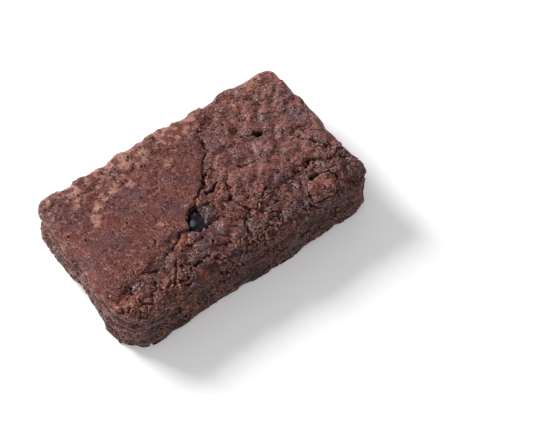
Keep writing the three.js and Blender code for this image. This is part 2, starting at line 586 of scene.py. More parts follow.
@dataclass(frozen=True)
class CakeFinish:
    """Baked cake: matte pinkish crust, moist red-brown crumb and dense dark sides, with painted highlight
    and painted shade on its grain, pores and hollows.
    """

    crust_roughness: float = 0.56
    crumb_roughness: float = 0.5
    slick_gloss: float = 0.12
    sheen_gloss: float = 0.1
    bump_depth: float = 0.1
    grain: float = 0.3
    # Strength of the painted highlight and painted shade on the grain.
    grain_highlight: float = 0.3
    grain_shade: float = 0.45
    pore: float = 0.85
    small_pore: float = 0.6
    # Spacing of the painted glints, in millimetres.
    glint: float = 0.6

    def make(self) -> bpy.types.Material:
        """Build the material from the mesh's own numbers.

        Returns:
            The material.
        """
        sheet = Sheet("baked_cake")
        streaky = sheet.streaked(0.4)
        calm = self.calm(sheet)
        grain = sheet.combine("MULTIPLY", self.grain_height(sheet, streaky), calm)
        pores = self.pores(sheet, streaky)
        # Painted highlight and painted shade follow the grain.
        colour = self.grain_light_and_shade(sheet, self.zoned(sheet), grain)
        # Painted shade in the pores and the fine dashes of crack.
        colour = sheet.blend(sheet.combine("MULTIPLY", pores, 0.95), colour, Palette.VALLEY)
        # Painted glints: small pale specks.
        glint = sheet.combine("MULTIPLY", sheet.spots(self.glint, 0.3, 0.2), 0.75)
        colour = sheet.blend(sheet.combine("MULTIPLY", glint, calm), colour, Palette.PALE)
        # Painted highlight on what stands out, painted shade in the hollows.
        sheet.link(self.hollow_light_and_shade(sheet, colour), sheet.shader.inputs["Base Color"])
        self.gloss(sheet)
        height = sheet.combine("SUBTRACT", sheet.combine("MULTIPLY", grain, 0.5), pores)
        sheet.bump(height, self.bump_depth)
        return sheet.material

    def zoned(self, sheet: Sheet) -> bpy.types.NodeSocket:
        """Colour of each kind of surface, the later ones over the earlier ones.

        Args:
            sheet: The material's nodes.

        Returns:
            The colour.
        """
        rust = sheet.mottle(Palette.RUST, Palette.RUST_TAN, 0.9, 0.5, 0.6, 1.0, 2.0, 0.6)
        covers = {
            "porous": self.skin(sheet), "slick": Palette.SLICK, "shade": self.dense(sheet),
            "crust": self.crust(sheet), "seam": Palette.SKIN_RED, "rust": rust, "tan_and_rim_light": Palette.CRUST_TAN,
            "sheen": Palette.SHEEN,
        }
        # The dark cover also paints shade on the front of the top, and the pale tan cover also paints a
        # highlight along the back rim.
        colour = self.crumb(sheet)
        for name, cover in covers.items():
            colour = sheet.blend(sheet.attribute(name), colour, cover)
        return colour

    def calm(self, sheet: Sheet) -> bpy.types.NodeSocket:
        """How strong the grain is: weaker on closed patches and on the crust, and uneven elsewhere.

        Args:
            sheet: The material's nodes.

        Returns:
            A factor for the grain's height.
        """
        patches = sheet.ease(sheet.noise(4.5, 2.0), 0.4, 0.62, 0.6, 1.25)
        closed = sheet.ease(sheet.attribute("slick"), 0.0, 1.0, 1.0, 0.4)
        crust = sheet.ease(sheet.attribute("crust"), 0.0, 1.0, 1.15, 0.62)
        return sheet.combine("MULTIPLY", sheet.combine("MULTIPLY", closed, patches), crust)

    def hollow_light_and_shade(self, sheet: Sheet, colour: bpy.types.NodeSocket) -> bpy.types.NodeSocket:
        """Paint highlight on what stands out of the relief, and paint shade in what lies low in it.

        Args:
            sheet: The material's nodes.
            colour: The colour so far.

        Returns:
            The colour.
        """
        hollow = sheet.attribute("hollow")
        # Painted highlight on the ridges, painted shade in the hollows, darker still in the deepest.
        for low, high, share, tone in (
            (0.43, 0.16, 0.35, Palette.PALE), (0.56, 0.74, 0.85, Palette.VALLEY),
            (0.72, 0.95, 0.9, Palette.DEEP),
        ):
            colour = sheet.blend(sheet.ease(hollow, low, high, 0.0, share), colour, tone)
        return colour

    def gloss(self, sheet: Sheet) -> None:
        """Set how moist the cake is: duller crust, glints in the crumb, and glossier closed patches.

        Args:
            sheet: The material's nodes.
        """
        moist = sheet.ease(sheet.noise(0.4, 2.0, 0.6), 0.36, 0.56, -0.24, 0.1)
        changes = {
            "crust": self.crust_roughness - self.crumb_roughness, "slick": -self.slick_gloss,
            "sheen": -self.sheen_gloss,
        }
        rough = self.crumb_roughness
        for name, more in changes.items():
            rough = sheet.combine("ADD", rough, sheet.combine("MULTIPLY", sheet.attribute(name), more))
        sheet.link(sheet.combine("ADD", rough, moist), sheet.shader.inputs["Roughness"])
        shine = sheet.ease(sheet.attribute("crust"), 0.0, 1.0, 0.38, 0.26)
        shine = sheet.combine("MULTIPLY", shine, sheet.ease(sheet.attribute("shade"), 0.0, 1.0, 1.0, 0.7))
        sheet.link(shine, sheet.shader.inputs["Specular IOR Level"])

    def crust(self, sheet: Sheet) -> bpy.types.NodeSocket:
        """Colour of the smooth crust.

        Args:
            sheet: The material's nodes.

        Returns:
            The colour.
        """
        streaky = sheet.streaked(0.3)
        colour = sheet.mottle(Palette.CRUST, Palette.CRUST_RED, 6.0, 0.46, 0.56, 1.0, 4.0, 0.65, streaky)
        colour = sheet.mottle(colour, Palette.CRUST_GREY, 5.6, 0.5, 0.59, 0.75, 3.0, 0.55, streaky)
        return sheet.mottle(colour, Palette.CRUST_TAN, 3.4, 0.57, 0.66, 0.6, place=streaky)

    def skin(self, sheet: Sheet) -> bpy.types.NodeSocket:
        """Colour of the thin flaky skin.

        Args:
            sheet: The material's nodes.

        Returns:
            The colour.
        """
        streaky = sheet.streaked(0.5)
        colour = sheet.mottle(Palette.SKIN, Palette.SKIN_RED, 2.6, 0.52, 0.6, place=streaky)
        colour = sheet.mottle(colour, Palette.CRUST_GREY, 4.2, 0.51, 0.59, 0.75, 3.0, 0.6, streaky)
        return sheet.mottle(colour, Palette.RUST, 1.8, 0.6, 0.66, 0.6, place=streaky)

    def crumb(self, sheet: Sheet) -> bpy.types.NodeSocket:
        """Colour of the open crumb."""
        colour = sheet.mottle(Palette.CRUMB, Palette.CRUMB_RED, 2.6, 0.46, 0.56)
        return sheet.mottle(colour, Palette.RUST, 1.8, 0.59, 0.66, 0.7)

    def dense(self, sheet: Sheet) -> bpy.types.NodeSocket:
        """Colour of the dense cake of the sides.

        Args:
            sheet: The material's nodes.

        Returns:
            The colour.
        """
        colour = sheet.mottle(Palette.DENSE, Palette.DENSE_RED, 2.6, 0.48, 0.58)
        colour = sheet.blend(sheet.attribute("slick"), colour, Palette.SLICK_DARK)
        return sheet.mottle(colour, Palette.RUST, 1.6, 0.61, 0.68, 0.5)

    def grain_height(self, sheet: Sheet, streaky: bpy.types.NodeSocket) -> bpy.types.NodeSocket:
        """Fine and coarser grain, longer along the cake's layers.

        Args:
            sheet: The material's nodes.
            streaky: Object places squeezed along the cake's layers.

        Returns:
            Its height: above 0 where it stands out, and below 0 where it lies low.
        """
        fine = sheet.ease(sheet.noise(self.grain, 0.0, 0.5, streaky), 0.3, 0.7, -1.0, 1.0)
        coarse = sheet.ease(sheet.noise(4.0 * self.grain, 2.0, 0.6, streaky), 0.32, 0.68, -0.6, 0.6)
        return sheet.combine("ADD", fine, coarse)

    def grain_light_and_shade(self, sheet: Sheet, colour: bpy.types.NodeSocket,
                grain: bpy.types.NodeSocket) -> bpy.types.NodeSocket:
        """Paint highlight where the grain stands out, and paint shade where it lies low.

        Args:
            sheet: The material's nodes.
            colour: The colour so far.
            grain: The grain's height.

        Returns:
            The colour.
        """
        highlight_share = sheet.ease(sheet.attribute("shade"), 0.0, 1.0, self.grain_highlight, 0.6 * self.grain_highlight)
        light = sheet.combine("MULTIPLY", sheet.ease(grain, 0.0, 1.2), highlight_share)
        dark = sheet.combine("MULTIPLY", sheet.ease(grain, 0.0, -1.2), self.grain_shade)
        return sheet.blend(dark, sheet.blend(light, colour, Palette.PALE), Palette.VALLEY)

    def pores(self, sheet: Sheet, streaky: bpy.types.NodeSocket) -> bpy.types.NodeSocket:
        """Fine pores and short dashes of crack, from 0 to 1, which are painted with shade and dip in the
        bump.

        Args:
            sheet: The material's nodes.
            streaky: Object places squeezed along the cake's layers.

        Returns:
            1 in the middle of a pore and 0 outside.
        """
        pores = sheet.spots(self.pore, 0.45, 0.3, streaky)
        small = sheet.combine("MULTIPLY", sheet.spots(self.small_pore, 0.5, 0.24, streaky),
                              sheet.ease(sheet.attribute("crust"), 0.0, 1.0, 1.0, 0.7))
        pores = sheet.combine("MAXIMUM", pores, small)
        middle = sheet.combine("SUBTRACT", sheet.noise(1.5, 2.0, 0.6, streaky), 0.5)
        course = sheet.ease(sheet.combine("ABSOLUTE", middle, 0.0), 0.025, 0.006)
        dashes = sheet.combine("MULTIPLY", course, sheet.ease(sheet.noise(2.0), 0.5, 0.6))
        open_cake = sheet.ease(sheet.attribute("crust"), 0.0, 1.0, 0.9, 0.3)
        return sheet.combine("MAXIMUM", pores, sheet.combine("MULTIPLY", dashes, open_cake))


@dataclass(frozen=True)
class BitFinish:
    """Loose crumbs and flakes, each with a tone of its own."""

    name: str
    dark: Palette
    light: Palette
    roughness: float = 0.55
    bump_depth: float = 0.1

    def make(self) -> bpy.types.Material:
        """Build the material from the mesh's tone number.

        Returns:
            The material.
        """
        sheet = Sheet(self.name)
        colour = sheet.blend(sheet.attribute("tone"), self.dark, self.light)
        colour = sheet.mottle(colour, Palette.CRUMB_RED, 0.7, 0.5, 0.7, 0.5, 3.0, 0.5)
        colour = sheet.mottle(colour, Palette.DEEP, 0.4, 0.45, 0.3, 0.7, 2.0, 0.5)
        sheet.link(colour, sheet.shader.inputs["Base Color"])
        sheet.shader.inputs["Roughness"].default_value = self.roughness
        sheet.shader.inputs["Specular IOR Level"].default_value = 0.45
        sheet.bump(sheet.noise(0.35, 2.0), self.bump_depth)
        return sheet.material


@dataclass(frozen=True)
class MeltFinish:
    """Melted chocolate, set to a gloss."""

    name: str
    dark: Palette
    light: Palette
    roughness: float
    duller: float = 0.22
    bump_depth: float = 0.16
    tint: Colour = (0.75, 0.85, 1.0, 1.0)

    def make(self) -> bpy.types.Material:
        """Build the material.

        Returns:
            The material.
        """
        sheet = Sheet(self.name)
        colour = sheet.mottle(self.dark, self.light, 1.4, 0.5, 0.62, 1.0, 4.0, 0.65)
        sheet.link(colour, sheet.shader.inputs["Base Color"])
        rough = sheet.ease(sheet.noise(0.8, 3.0), 0.35, 0.7, self.roughness, self.roughness + self.duller)
        sheet.link(rough, sheet.shader.inputs["Roughness"])
        sheet.shader.inputs["Specular IOR Level"].default_value = 0.3
        sheet.shader.inputs["Specular Tint"].default_value = self.tint
        sheet.bump(sheet.noise(0.6, 3.0), self.bump_depth)
        return sheet.material


# Making meshes

def only(thing: bpy.types.Object) -> None:
    """Select one object alone and make it active.

    Args:
        thing: The object.
    """
    if bpy.context.object is not None and bpy.context.object.mode != "OBJECT":
        bpy.ops.object.mode_set(mode="OBJECT")
    bpy.ops.object.select_all(action="DESELECT")
    thing.select_set(True)
    bpy.context.view_layer.objects.active = thing


def mesh_points(mesh: bpy.types.Mesh) -> np.ndarray:
    """Read a mesh's vertices, in millimetres.

    Args:
        mesh: The mesh.

    Returns:
        One row for each vertex.
    """
    flat = np.empty(len(mesh.vertices) * 3)
    mesh.vertices.foreach_get("co", flat)
    return flat.reshape(-1, 3) / MM


def move_points(mesh: bpy.types.Mesh, points: np.ndarray) -> None:
    """Write a mesh's vertices, given in millimetres."""
    mesh.vertices.foreach_set("co", (points * MM).ravel())
    mesh.update()


def mesh_normals(mesh: bpy.types.Mesh) -> np.ndarray:
    """Read the directions that a mesh's vertices face.

    Args:
        mesh: The mesh.

    Returns:
        One row for each vertex.
    """
    flat = np.empty(len(mesh.vertices) * 3)
    mesh.vertex_normals.foreach_get("vector", flat)
    return flat.reshape(-1, 3)


def write_number(mesh: bpy.types.Mesh, name: str, values: np.ndarray) -> None:
    """Store one number for each vertex of a mesh."""
    layer = mesh.attributes.new(name, "FLOAT", "POINT")
    layer.data.foreach_set("value", values.astype(np.float32))


def read_number(mesh: bpy.types.Mesh, name: str) -> np.ndarray:
    """Read the number that each vertex of a mesh was given.

    Args:
        mesh: The mesh.
        name: The number's name.

    Returns:
        One number for each vertex.
    """
    values = np.empty(len(mesh.vertices), dtype=np.float32)
    mesh.attributes[name].data.foreach_get("value", values)
    return values.astype(float)


def evened(mesh: bpy.types.Mesh, values: np.ndarray, rounds: int) -> np.ndarray:
    """Average values over each vertex's neighbours.

    Args:
        mesh: The mesh whose edges join the vertices.
        values: One row for each vertex.
        rounds: How many times to average.

    Returns:
        The averaged values.
    """
    ends = np.empty(len(mesh.edges) * 2, dtype=np.int32)
    mesh.edges.foreach_get("vertices", ends)
    first, second = ends.reshape(-1, 2).T
    count = len(mesh.vertices)
    degree = np.maximum(np.bincount(ends, minlength=count), 1)
    rows = values.reshape(count, -1).copy()
    for _ in range(rounds):
        for column in rows.T:
            total = np.bincount(first, column[second], count) + np.bincount(second, column[first], count)
            column[:] = 0.5 * column + 0.5 * total / degree
    return rows.reshape(values.shape)


def dress(piece: bpy.types.Object, material: bpy.types.Material) -> None:
    """Give a piece its material and let it ride on the bar's body.

    Args:
        piece: The piece.
        material: Its material.
    """
    piece.data.materials.clear()
    piece.data.materials.append(material)
    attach(piece, BODY)


# The bar

@dataclass(frozen=True)
class Crack:
    """A crack along a chain of places on the skin."""

    places: tuple[Point, ...]
    half_width: float = 0.8
    depth: float = 1.5


@dataclass(frozen=True)
class Oval:
    """An oval feature, level on the top, or on a side when its height is given."""

    x: float
    y: float
    along: float
    across: float
    turn: float
    z: float = 19.3
    tall: float = 6.0

    def share(self, points: np.ndarray) -> np.ndarray:
        """Distance from the middle as a share of the oval's own size.

        Args:
            points: Places in millimetres, three numbers a row.

        Returns:
            1 on the oval's outline, less inside it and more outside.
        """
        angle = math.radians(self.turn)
        dx, dy = points[:, 0] - self.x, points[:, 1] - self.y
        along = dx * math.cos(angle) + dy * math.sin(angle)
        across = dy * math.cos(angle) - dx * math.sin(angle)
        return np.sqrt((along / self.along) ** 2 + (across / self.across) ** 2
                       + ((points[:, 2] - self.z) / self.tall) ** 2)


@dataclass(frozen=True)
class Lay:
    """How the bar's vertices lie: their places, what they face and their share of its named areas."""

    points: np.ndarray
    normals: np.ndarray
    inside: np.ndarray
    top: np.ndarray
    crust: np.ndarray
    calm: np.ndarray
    plate: np.ndarray
    lump: np.ndarray
    lobe: np.ndarray
    left: np.ndarray

    def closed(self) -> np.ndarray:
        """Share of the areas without open crumb: round the plate, and the lump beside the pit."""
        return np.maximum(self.calm, self.lump)


@dataclass
class Cake:
    """The bar itself, carved from a fine copy of its solid."""

    voxel: float = 0.22
    evening: int = 16
    facing_evening: int = 10
    skin_evening: int = 110
    skin_share: float = 0.85
    base_height: float = 0.2
    most_triangles: int = 192_000
    crust_edge: tuple[tuple[float, float], ...] = (
        (-47, -14.6), (-37, -13.4), (-31.5, -12.6), (-26.8, -11.1), (-22.2, -9.6), (-18.2, -8.9),
        (-14.8, -9.4), (-11.4, -9.0), (-9.8, -5.5), (-5.9, -2.6), (-2.4, 0.2), (1.2, 2.2), (3.3, 6.1),
        (5.8, 8.6), (8.8, 11.1), (10.1, 14.5), (11.1, 17.4), (13.6, 19.8), (16.4, 22.2), (20.0, 30.0),
    )
    tan_patches: tuple[Oval, ...] = (
        Oval(-21.6, 15.5, 2.6, 1.3, 10), Oval(-16.6, 14.3, 2.0, 1.1, -30), Oval(-28.2, 13.0, 2.2, 1.5, 30),
        Oval(-30.9, 10.6, 1.8, 1.3, 0), Oval(-31.5, 8.4, 1.7, 1.0, 40), Oval(-25.0, 14.4, 1.2, 0.8, 0),
    )
    rust_patches: tuple[Oval, ...] = (
        Oval(-24.1, -25.0, 1.8, 1.8, 0, 9.0, 1.6), Oval(-29.3, -25.1, 1.3, 1.5, 0, 13.5, 1.2),
        Oval(-16.2, -23.3, 1.6, 1.2, 0), Oval(-20.6, -25.2, 1.2, 1.5, 0, 6.4, 1.0),
        Oval(9.6, -25.4, 1.4, 1.5, 0, 13.6, 1.0),
        Oval(24.8, -25.6, 1.8, 1.5, 0, 14.4, 0.9), Oval(-33.0, -25.0, 1.4, 1.5, 0, 5.6, 1.1),
        Oval(-14.8, -18.4, 1.6, 1.0, 30), Oval(-41.0, -16.5, 2.6, 2.2, 0), Oval(-39.0, -20.4, 1.6, 1.2, 0),
        Oval(3.6, -3.0, 2.0, 1.3, 40), Oval(-1.5, -12.2, 2.8, 0.9, 20), Oval(-15.4, -12.0, 3.0, 1.4, 30),
        Oval(33.3, 20.8, 2.4, 1.0, -10), Oval(25.3, 22.2, 1.4, 1.2, 0), Oval(26.7, 12.9, 2.0, 1.1, -30),
        Oval(28.5, 1.9, 1.6, 0.9, 0), Oval(30.5, -12.2, 3.0, 0.8, -20),
    )
    pit: Oval = Oval(-8.3, -7.2, 4.8, 2.3, 62)
    plate_ring: tuple[tuple[float, float], ...] = (
        (24.0, -18.5), (25.6, -16.7), (28.2, -16.2), (30.7, -15.5), (33.3, -17.2), (34.1, -19.8),
        (33.0, -22.0), (31.6, -23.6), (29.6, -24.7), (27.4, -23.8), (25.8, -24.2), (23.7, -23.0),
        (23.2, -20.8),
    )
    lobe: Oval = Oval(38.9, -19.8, 4.6, 4.2, -70)
    tongue: Oval = Oval(-38.2, -21.4, 5.2, 3.4, 15)
    dark_hole: Oval = Oval(25.1, 6.6, 1.5, 1.0, -30)
    lump: Oval = Oval(-4.0, -7.7, 3.8, 2.3, 50)
    sheen_patches: tuple[Oval, ...] = (
        Oval(37.2, 6.8, 4.2, 2.4, 110), Oval(29.1, 9.8, 3.0, 1.4, -30), Oval(33.4, -13.2, 2.4, 1.4, -30),
        Oval(11.9, -21.0, 4.0, 2.2, -10), Oval(-14.0, -17.6, 3.6, 2.2, 20), Oval(18.6, -21.6, 4.4, 2.6, 0),
        Oval(30.7, -25.4, 4.0, 2.4, 0, 11.5, 3.0), Oval(-2.5, -23.4, 3.0, 1.6, 0),
        Oval(-36.0, -25.0, 3.0, 2.4, 0, 9.7, 2.8), Oval(-13.9, -25.0, 2.8, 2.0, 0, 8.5, 2.4),
        Oval(-22.9, -25.2, 2.6, 2.0, 0, 12.6, 1.8), Oval(37.2, -25.0, 2.6, 2.0, 0, 11.7, 2.6),
        Oval(36.6, -25.2, 2.8, 2.0, 0, 4.6, 2.0), Oval(13.0, -25.4, 3.2, 2.0, 0, 8.2, 2.2),
        Oval(-17.4, 9.0, 3.0, 1.4, -30),
    )
    pinholes: tuple[tuple[float, float], ...] = (
        (-24.8, 3.2), (-24.3, 1.6), (-16.5, -4.5), (-41.0, 9.3), (-37.3, 5.9), (-9.9, 16.9), (-2.8, 12.7),
        (-20.2, 21.7), (-11.4, 22.1), (-5.2, 1.3),
    )
    cracks: tuple[Crack, ...] = (
        Crack(((3.6, 4.0, 19.2), (1.4, 2.0, 18.9), (0.1, -1.8, 19.1), (2.2, -1.9, 19.0), (5.0, -0.1, 19.4))),
        Crack(((3.6, 4.0, 19.2), (6.3, 4.6, 19.2), (7.4, 2.6, 19.2), (5.0, -0.1, 19.4)), 0.6, 0.9),
        Crack(((6.5, -1.5, 19.5), (6.3, -3.8, 19.0), (4.8, -7.2, 19.0), (5.4, -11.3, 19.4),
               (6.7, -13.5, 19.3), (5.8, -16.1, 19.2))),
        Crack(((13.1, 1.1, 18.9), (15.3, -0.5, 18.8), (18.2, -1.0, 19.0)), 0.55, 0.8),
        Crack(((19.0, 9.1, 18.7), (22.6, 7.3, 19.2), (25.2, 6.4, 18.6)), 0.6, 0.9),
        Crack(((15.0, -10.7, 19.0), (12.4, -12.2, 19.5)), 0.6, 1.0),
        Crack(((-18.9, -11.4, 18.9), (-16.8, -10.9, 19.2), (-14.6, -8.8, 19.0)), 0.6, 0.9),
        Crack(((-21.7, -6.5, 19.6), (-23.3, -8.6, 19.4)), 0.5, 0.7),
        Crack(((32.8, -0.3, 19.0), (36.3, -5.6, 19.2), (38.0, -8.7, 19.4), (40.5, -10.7, 19.4),
               (43.6, -13.0, 17.8))),
        Crack(((28.1, -11.9, 19.3), (31.6, -10.2, 19.1), (34.1, -11.4, 19.2), (34.6, -13.6, 19.2),
               (34.9, -15.1, 19.2))),
        Crack(((21.0, -8.0, 19.3), (23.6, -10.6, 19.2), (26.5, -11.6, 19.1), (28.1, -11.9, 19.3)), 0.8, 1.2),
        Crack(((21.6, -22.6, 19.5), (24.0, -25.0, 17.0), (28.9, -25.6, 13.0), (32.1, -25.8, 10.8),
               (35.9, -25.8, 8.7)), 0.75, 1.4),
        Crack(((15.0, -25.4, 18.0), (16.6, -25.8, 16.4), (18.2, -25.6, 14.2)), 0.6, 1.0),
        Crack(((21.1, -20.1, 18.8), (20.1, -23.0, 18.8), (20.0, -25.2, 16.4)), 0.6, 1.0),
        Crack(((2.7, -13.6, 19.4), (3.0, -16.6, 19.1), (1.7, -21.7, 19.2)), 0.6, 0.9),
        Crack(((9.8, -19.5, 19.5), (9.9, -22.8, 18.8), (9.3, -25.5, 17.0)), 0.7, 1.1),
        Crack(((-41.1, -21.0, 18.7), (-39.1, -20.6, 19.3), (-36.5, -21.8, 19.4),
               (-34.2, -23.0, 19.0)), 0.7, 1.2),
        Crack(((-28.7, -14.3, 18.9), (-25.7, -14.5, 18.7)), 0.7, 1.0),
        Crack(((-29.7, -21.7, 19.4), (-26.5, -20.7, 19.7), (-22.4, -22.2, 19.2)), 0.7, 1.0),
        Crack(((-20.7, -15.4, 19.4), (-22.8, -18.0, 19.3), (-24.5, -20.7, 19.3),
               (-25.0, -23.0, 18.9)), 0.8, 1.2),
        Crack(((-17.8, -19.6, 18.9), (-15.4, -19.3, 18.8), (-12.5, -18.9, 19.2), (-11.9, -20.8, 19.2),
               (-9.6, -23.0, 19.0)), 0.8, 1.3),
        Crack(((-9.4, -24.6, 18.2), (-7.3, -25.6, 13.4), (-5.4, -25.8, 8.2)), 0.7, 1.1),
        Crack(((4.0, -25.4, 17.0), (5.2, -25.8, 13.1), (4.8, -25.8, 7.0)), 0.8, 1.6),
        Crack(((-28.5, -25.0, 17.6), (-25.7, -23.8, 18.7), (-22.0, -24.2, 18.6)), 0.9, 1.5),
        Crack(((-11.6, -24.8, 15.2), (-10.2, -25.0, 14.2)), 1.0, 1.5),
        Crack(((4.2, -25.4, 12.8), (6.4, -25.7, 11.6)), 1.1, 1.6),
        Crack(((17.0, -25.5, 9.6), (20.4, -25.7, 9.0), (22.6, -25.7, 10.0)), 0.8, 1.4),
        Crack(((-19.8, -25.3, 15.6), (-17.4, -25.3, 14.4), (-16.8, -25.3, 12.6)), 0.8, 1.4),
        Crack(((-42.9, 3.2, 12.0), (-43.4, 0.2, 15.0), (-43.4, -2.4, 18.1)), 1.2, 1.8),
        Crack(((-43.6, 17.0, 13.5), (-43.6, 9.0, 13.0), (-43.2, 3.0, 14.0)), 0.8, 1.4),
    )

    def build(self, finish: CakeFinish) -> bpy.types.Object:
        """Carve and dress the bar.

        Args:
            finish: What it is dressed with.

        Returns:
            The finished piece.
        """
        piece = self.fine_copy()
        self.carve(piece.data)
        self.thin_out(piece)
        self.flatten_base(piece.data)
        only(piece)
        bpy.ops.object.shade_smooth()
        self.shade_base_flat(piece.data)
        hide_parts(BAR)
        dress(piece, finish.make())
        return piece

    def carve(self, mesh: bpy.types.Mesh) -> None:
        """Carve the relief into the fine copy, but not into its base, and store its numbers.

        Args:
            mesh: The bar's mesh.
        """
        points = mesh_points(mesh)
        normals = evened(mesh, mesh_normals(mesh), self.facing_evening)
        normals /= np.linalg.norm(normals, axis=1)[:, None]
        zones = self.zones(points, normals)
        points = self.level_skin(mesh, points, zones["porous"])
        carved = points + normals * self.relief(points, zones)[:, None]
        low = points[:, 2] < self.base_height
        carved[low] = points[low]
        carved[:, 2] = np.maximum(carved[:, 2], 0.0)
        move_points(mesh, carved)
        self.write_numbers(mesh, zones)

    def level_skin(self, mesh: bpy.types.Mesh, points: np.ndarray, porous: np.ndarray) -> np.ndarray:
        """Even the solid's facets out under the thin skin, where it faces up.

        Args:
            mesh: The fine copy.
            points: Its vertices' places.
            porous: Share of the thin skin at each vertex.

        Returns:
            The evened places.
        """
        level = porous * ramp(evened(mesh, mesh_normals(mesh)[:, 2], 40), 0.93, 0.985)
        even = evened(mesh, points, self.skin_evening)
        return points + (self.skin_share * level)[:, None] * (even - points)

    def flatten_base(self, mesh: bpy.types.Mesh) -> None:
        """Lay what is left of the base back on the ground.

        Args:
            mesh: The bar's mesh.
        """
        points = mesh_points(mesh)
        points[:, 2] = np.where(points[:, 2] < 0.5 * self.base_height, 0.0, points[:, 2])
        move_points(mesh, points)

    def thin_out(self, piece: bpy.types.Object) -> None:
        """Collapse the flattest faces until the bar has few enough triangles.

        Args:
            piece: The carved bar.
        """
        triangles = sum(len(p.vertices) - 2 for p in piece.data.polygons)
        only(piece)
        fewer = piece.modifiers.new("fewer", "DECIMATE")
        fewer.ratio = min(1.0, self.most_triangles / triangles)
        bpy.ops.object.modifier_apply(modifier=fewer.name)

    def shade_base_flat(self, mesh: bpy.types.Mesh) -> None:
        """Shade the base flat, so that the sides' smooth shading ends at its rim.

        Args:
            mesh: The bar's mesh.
        """
        starts = np.empty(len(mesh.polygons), dtype=np.int32)
        corners = np.empty(len(mesh.loops), dtype=np.int32)
        mesh.polygons.foreach_get("loop_start", starts)
        mesh.loops.foreach_get("vertex_index", corners)
        highest = np.maximum.reduceat(mesh_points(mesh)[corners, 2], starts)
        mesh.polygons.foreach_set("use_smooth", highest > 0.5 * self.base_height)
        mesh.update()

    def fine_copy(self) -> bpy.types.Object:
        """Copy the solid's mesh and remesh it finely, with its base one flat face.

        Returns:
            The copy, a new object.
        """
        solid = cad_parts[BAR]
        piece = bpy.data.objects.new("cake", solid.data.copy())
        bpy.context.scene.collection.objects.link(piece)
        only(piece)
        bpy.ops.object.mode_set(mode="EDIT")
        bpy.ops.mesh.select_all(action="SELECT")
        bpy.ops.mesh.remove_doubles(threshold=1e-6)
        bpy.ops.object.mode_set(mode="OBJECT")
        remesh = piece.modifiers.new("fine", "REMESH")
        remesh.mode = "VOXEL"
        remesh.voxel_size = self.voxel * MM
        bpy.ops.object.modifier_apply(modifier=remesh.name)
        bpy.ops.object.mode_set(mode="EDIT")
        bpy.ops.mesh.select_all(action="SELECT")
        cut = (0.0, 0.0, self.base_height * MM)
        bpy.ops.mesh.bisect(plane_co=cut, plane_no=(0.0, 0.0, 1.0), clear_inner=True)
        bpy.ops.mesh.select_mode(type="EDGE")
        bpy.ops.mesh.select_all(action="DESELECT")
        bpy.ops.mesh.select_non_manifold(extend=False, use_wire=False, use_multi_face=False,
                                         use_non_contiguous=False)
        bpy.ops.mesh.edge_face_add()
        bpy.ops.object.mode_set(mode="OBJECT")
        mesh = piece.data
        points = mesh_points(mesh)
        base = points[:, 2] < self.base_height + 0.01
        even = evened(mesh, points, self.evening)
        even[base] = points[base]
        even[base, 2] = 0.0
        move_points(mesh, even)
        return piece

    def inside_crust(self, points: np.ndarray) -> np.ndarray:
        """Distance from the crust's broken edge: positive on the crust.

        Args:
            points: Places in millimetres, three numbers a row.

        Returns:
            The distances in millimetres.
        """
        xs, ys = np.array(self.crust_edge).T
        edge = np.interp(points[:, 0], xs, ys)
        slope = np.interp(points[:, 0] + 0.5, xs, ys) - np.interp(points[:, 0] - 0.5, xs, ys)
        behind = (points[:, 1] - edge) / np.hypot(1.0, slope)
        return behind + 0.9 * noise(points, 3.4, 21) + 0.45 * noise(points, 1.3, 22)

    def patches(self, ovals: tuple[Oval, ...], points: np.ndarray, seed: int) -> np.ndarray:
        """Share of a colour in soft-edged uneven patches.

        Args:
            ovals: The patches.
            points: Places in millimetres, three numbers a row.
            seed: Another seed gives another pattern.

        Returns:
            A share from 0 to 1 for each vertex.
        """
        uneven = 0.5 * noise(points, 1.4, seed) + 0.25 * noise(points, 0.7, seed + 1)
        total = sum(1.0 - ramp(oval.share(points) + uneven, 0.5, 1.25) for oval in ovals)
        return np.clip(total, 0.0, 1.0)

    def in_plate(self, points: np.ndarray) -> np.ndarray:
        """How far inside the cracked-off plate near the right corner each place lies."""
        shifts = np.stack([noise(points, 1.1, 17 + k) for k in range(3)], axis=1)
        return depth_in_ring(points + 0.35 * shifts, np.array(self.plate_ring))

    def slick(self, points: np.ndarray) -> np.ndarray:
        """Share of smooth, closed, greyish patches in broken cake."""
        return ramp(noise(points, 4.6, 28) + 0.3 * noise(points, 1.6, 27) + 0.1, 0.0, 0.2)

    def zones(self, points: np.ndarray, normals: np.ndarray) -> dict[str, np.ndarray]:
        """Share of each kind of surface at each vertex.

        Args:
            points: The vertices' places.
            normals: The directions they face.

        Returns:
            Arrays named inside, top, crust, porous, dense, coarse, shade, slick, seam, tan_and_rim_light,
            left, rust and sheen.
        """
        at = self.lay(points, normals)
        porous, dense = self.porous(at), self.dense(at)
        return {
            "inside": at.inside, "top": at.top, "crust": at.crust, "porous": porous, "dense": dense,
            "coarse": np.clip(1.0 - at.crust - porous - dense, 0.0, 1.0) * (1.0 - 0.9 * at.closed()),
            "shade": self.shade(at), "slick": self.slick_share(at, porous), "seam": self.seam(at),
            "tan_and_rim_light": self.tan_and_rim_light(at), "left": at.left * (1.0 - at.top), "rust": self.rust(at, porous),
            "sheen": self.sheen(at),
        }

